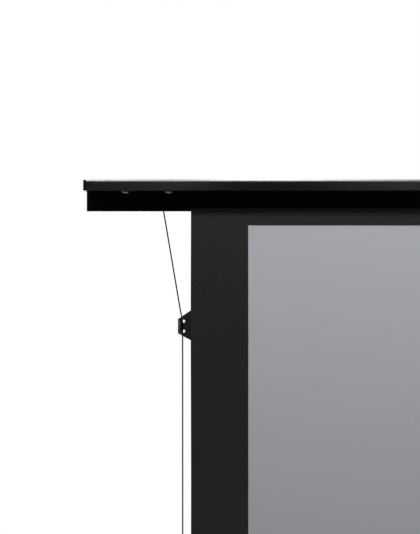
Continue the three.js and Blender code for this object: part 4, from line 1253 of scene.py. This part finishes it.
class PULLUP_OT_arms(bpy.types.Operator):
    """Makes the folding arms, their pins, brackets and struts"""

    bl_idname = "pullup.arms"
    bl_label = "Arms"

    def execute(self, context):
        sizes = context.scene.screen_sizes
        shank, head_thick, chamfer = 6 * MM, 1.2 * MM, 0.3 * MM
        for side in SIDES:
            eased(f"{side}_arm_base", sizes.pressed_edge, "powder")
            eased(f"{side}_head_bracket", sizes.pressed_edge, "powder")
            for arm in ("lower_arm", "upper_arm"):
                eased(f"{side}_{arm}", sizes.extruded_edge, "anodised", smooth=25)
            for pin in ("base_pin", "knee_pin"):
                node = f"{side}_{pin}"
                (_, front, bottom), (_, rear, top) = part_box(node)
                head = (top - bottom) / 2
                half = [(0, 0), (head * 0.93, 0), (head, chamfer), (head, head_thick), (shank, head_thick)]
                profile = [(r, front + d) for r, d in half] + [(r, rear - d) for r, d in reversed(half)]
                centre = middle(node)
                piece = turned(f"{node}_turned", profile, Vector((centre.x, 0, centre.z)), "Y")
                dress(piece, "pressed zinc", node)
            eased(f"{side}_strut_cylinder", sizes.pressed_edge, "powder", smooth=25)
            eased(f"{side}_strut_rod", sizes.pressed_edge, "chrome", smooth=25)
        return {"FINISHED"}


class PULLUP_OT_feet(bpy.types.Operator):
    """Makes the swing-out feet and their bolts"""

    bl_idname = "pullup.feet"
    bl_label = "Feet"

    def execute(self, context):
        sizes = context.scene.screen_sizes
        for side in SIDES:
            eased(f"{side}_foot", sizes.pressed_edge, "powder", smooth=25)
            eased(f"{side}_foot_bolt", sizes.pressed_edge, "pressed zinc", smooth=25)
        return {"FINISHED"}


class PULLUP_OT_handle(bpy.types.Operator):
    """Makes the pull handle and its mount"""

    bl_idname = "pullup.handle"
    bl_label = "Handle"

    def execute(self, context):
        sizes = context.scene.screen_sizes
        eased("handle_mount", sizes.moulded_edge, "plastic")
        eased("pull_handle", sizes.pressed_edge, "rubber", smooth=50)
        tree, names = rib_tree(finish_of("rubber"))
        box_low, box_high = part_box("pull_handle")
        grip = (box_high.z - box_low.z) / 2
        rib = 1 * MM  # radius of a rib, most of it sunk in the grip
        ribs = run_group(
            mesh_object("grip_ribs", [(0, 0, 0)], []), tree, names,
            {
                "Count": sizes.grip_ribs, "Spacing": sizes.rib_spacing,
                "Ring radius": grip + sizes.rib_proud - rib, "Rib radius": rib,
            },
        )
        start = -(sizes.grip_ribs - 1) * sizes.rib_spacing / 2
        tidy(ribs, Matrix.Translation((start, box_high.y - grip, middle("pull_handle").z)))
        dress(ribs, "rubber", "pull_handle", 80)
        return {"FINISHED"}


# Stage


def background_rays(tree):
    """One for the rays that show the background: the camera's, and those of metal and glass."""
    path = add(tree, "ShaderNodeLightPath").outputs
    seen = path["Is Camera Ray"]
    for ray in ("Is Glossy Ray", "Is Transmission Ray"):
        seen = add(tree, "ShaderNodeMath", {0: seen, 1: path[ray]}, operation="MAXIMUM")
    return seen


def lamp(name, kind, power, place, aim, lights=None, **settings):
    """A lamp. One that is given a collection lights all but what that collection leaves out."""
    data = bpy.data.lights.new(name, kind)
    data.energy = power
    for key, value in settings.items():
        setattr(data, key, value)
    made = put(name, data)
    made.location = place
    made.rotation_euler = (Vector(aim) - Vector(place)).to_track_quat("-Z", "Y").to_euler()
    made.visible_camera = False
    made.light_linking.receiver_collection = lights
    return made


FLOOR_SEEN, FLOOR_GONE = 2.2, 7.0  # the floor passes into the white background between these
FLOOR_CLOUD = 0.35  # size of the floor's faint cloudiness
DRAPE_HALF, DRAPE_AWAY, DRAPE_FOOT, DRAPE_HEAD = 6, 2.3, 0.005, 4.6


class PULLUP_OT_stage(bpy.types.Operator):
    """Makes the floor, the lamps, the world and the camera"""

    bl_idname = "pullup.stage"
    bl_label = "Stage"

    def execute(self, context):
        scene = context.scene
        stage = scene.screen_stage
        scene.view_settings.view_transform = "Standard"
        floor = self.make_floor(context)
        self.make_world(scene, stage.ambient)
        self.make_lamps(stage, self.all_but(floor))
        self.make_camera(scene, stage)
        return {"FINISHED"}

    def make_floor(self, context):
        reach = context.scene.screen_stage.floor_reach
        floor = mesh_object(
            "floor", [(-reach, -reach, 0), (reach, -reach, 0), (reach, reach, 0), (-reach, reach, 0)],
            [[0, 1, 2, 3]],
        )
        made, tree = blank_material("pale studio floor")
        place = stretched_place(tree, FLOOR_CLOUD, FLOOR_CLOUD, FLOOR_CLOUD)
        cloud = add(tree, "ShaderNodeTexNoise", {"Vector": place, "Scale": 1.0})
        pale, grey = reversed(two_tones(context.scene.screen_colours.floor, 0.015, 0))
        tone = add(tree, "ShaderNodeMix", {"Factor": cloud, "A": pale, "B": grey}, data_type="RGBA")
        seen = add(
            tree, "ShaderNodeMix",
            {
                "Factor": background_rays(tree), "A": linear(context.scene.screen_colours.bounce),
                "B": tone,
            },
            data_type="RGBA",
        )
        surface = add(
            tree, "ShaderNodeBsdfPrincipled",
            {"Base Color": seen, "Roughness": 0.9, "Specular IOR Level": 0.0},
        )
        place = add(tree, "ShaderNodeTexCoord").outputs["Object"]
        away = add(tree, "ShaderNodeVectorMath", {0: place}, operation="LENGTH")
        far = add(
            tree, "ShaderNodeMapRange",
            {"Value": away, "From Min": FLOOR_SEEN, "From Max": FLOOR_GONE},
            interpolation_type="SMOOTHSTEP",
        )
        share = add(tree, "ShaderNodeMath", {0: far, 1: background_rays(tree)}, operation="MULTIPLY")
        white = add(tree, "ShaderNodeEmission", {"Color": (1, 1, 1, 1), "Strength": 1.0})
        blend = add(tree, "ShaderNodeMixShader", {0: share, 1: surface, 2: white})
        add(tree, "ShaderNodeOutputMaterial", {"Surface": blend})
        floor.data.materials.append(made)
        return floor

    def all_but(self, floor):
        """A collection that keeps a lamp off the floor, so that it leaves no lit patch on it."""
        lights = bpy.data.collections.new("kept off the floor")
        lights.objects.link(floor)
        lights.collection_objects[0].light_linking.link_state = "EXCLUDE"
        return lights

    def make_world(self, scene, ambient):
        world = bpy.data.worlds.new("white studio")
        scene.world = world
        world.use_nodes = True
        tree = world.node_tree
        tree.nodes.clear()
        strength = add(
            tree, "ShaderNodeMapRange",
            {"Value": background_rays(tree), "To Min": ambient, "To Max": 1.0},
        )
        glow = add(tree, "ShaderNodeBackground", {"Color": (1, 1, 1, 1), "Strength": strength})
        add(tree, "ShaderNodeOutputWorld", {"Surface": glow})

    def make_lamps(self, stage, lights):
        """A strip's row: name, watts, place, aim, width, depth. Places are (across, back, up)."""
        end, top = high("lid").x - 0.18, high("lid").z
        strips = (
            ("key strip", stage.key_power, (0, -0.68, 2.17), (0, -0.03, 1.74), 4.2, 0.09),
            ("low fill", stage.fill_power, (0, -1.9, 0.6), (0, 0, 0.85), 3.2, 0.5),
            ("back", stage.back_power, (0, 3.2, 2.3), (0, 0, 0.9), 4.0, 1.5),
            ("lid edge", stage.edge_power, (-end, -0.06, top + 0.3), (-end, -0.06, top), 0.48, 0.06),
        )
        for name, power, place, aim, wide, deep in strips:
            lamp(name, "AREA", power, place, aim, lights, shape="RECTANGLE", size=wide, size_y=deep)
        lamp("overhead", "SUN", stage.overhead, (0, 1.0, 4.0), (0, 0.15, 0), angle=math.radians(30))
        self.hang_drape()

    def hang_drape(self):
        """A black drape on the camera's side, which satin and glossy faces reflect."""
        corners = [
            (way * DRAPE_HALF, -DRAPE_AWAY, z)
            for way, z in ((-1, DRAPE_HEAD), (1, DRAPE_HEAD), (1, DRAPE_FOOT), (-1, DRAPE_FOOT))
        ]
        drape = mesh_object("black drape", corners, [[0, 1, 2, 3]])
        cloth, tree = blank_material("black stage velvet")
        pile = add(
            tree, "ShaderNodeTexNoise", {"Vector": stretched_place(tree, 0.2, 1.5, 0.2), "Scale": 1.0}
        )
        tone = add(
            tree, "ShaderNodeMix",
            {"Factor": pile, "A": linear("#060606"), "B": linear("#0a0a0a")}, data_type="RGBA",
        )
        surface = add(tree, "ShaderNodeBsdfDiffuse", {"Color": tone})
        add(tree, "ShaderNodeOutputMaterial", {"Surface": surface})
        drape.data.materials.append(cloth)
        drape.visible_camera = False
        drape.visible_diffuse = False
        drape.visible_shadow = False

    def make_camera(self, scene, stage):
        data = bpy.data.cameras.new("photograph")
        camera = put("photograph", data)
        camera.location = (stage.seen_x, low("black_border").y - stage.camera_distance, stage.seen_z)
        camera.rotation_euler = (math.pi / 2, 0, 0)
        data.lens = data.sensor_width * stage.camera_distance / stage.seen_height
        data.clip_end = 200
        scene.camera = camera


PIECES = (
    PULLUP_OT_lid, PULLUP_OT_beam, PULLUP_OT_tension_gear, PULLUP_OT_housing, PULLUP_OT_roller,
    PULLUP_OT_arms, PULLUP_OT_feet, PULLUP_OT_handle, PULLUP_OT_cloth, PULLUP_OT_tabs,
    PULLUP_OT_cords, PULLUP_OT_stage,
)


class PULLUP_PT_panel(bpy.types.Panel):
    """Lists the pieces in the sidebar"""

    bl_label = "Pull-up screen"
    bl_space_type = "VIEW_3D"
    bl_region_type = "UI"
    bl_category = "Screen"

    def draw(self, context):
        for piece in PIECES:
            self.layout.operator(piece.bl_idname)
        for group in ("screen_sizes", "screen_colours", "screen_stage"):
            values = getattr(context.scene, group)
            for name in values.bl_rna.properties.keys():
                if name not in ("rna_type", "name"):
                    self.layout.prop(values, name)


GROUPS = {"screen_sizes": ScreenSizes, "screen_colours": ScreenColours, "screen_stage": ScreenStage}


def register():
    for each in (*GROUPS.values(), *PIECES, PULLUP_PT_panel):
        bpy.utils.register_class(each)
    for name, group in GROUPS.items():
        setattr(bpy.types.Scene, name, PointerProperty(type=group))


def unregister():
    for name in GROUPS:
        delattr(bpy.types.Scene, name)
    for each in (PULLUP_PT_panel, *reversed(PIECES), *reversed(GROUPS.values())):
        bpy.utils.unregister_class(each)


def main():
    register()
    for piece in PIECES:
        group, name = piece.bl_idname.split(".")
        getattr(getattr(bpy.ops, group), name)()


if __name__ == "__main__":
    main()
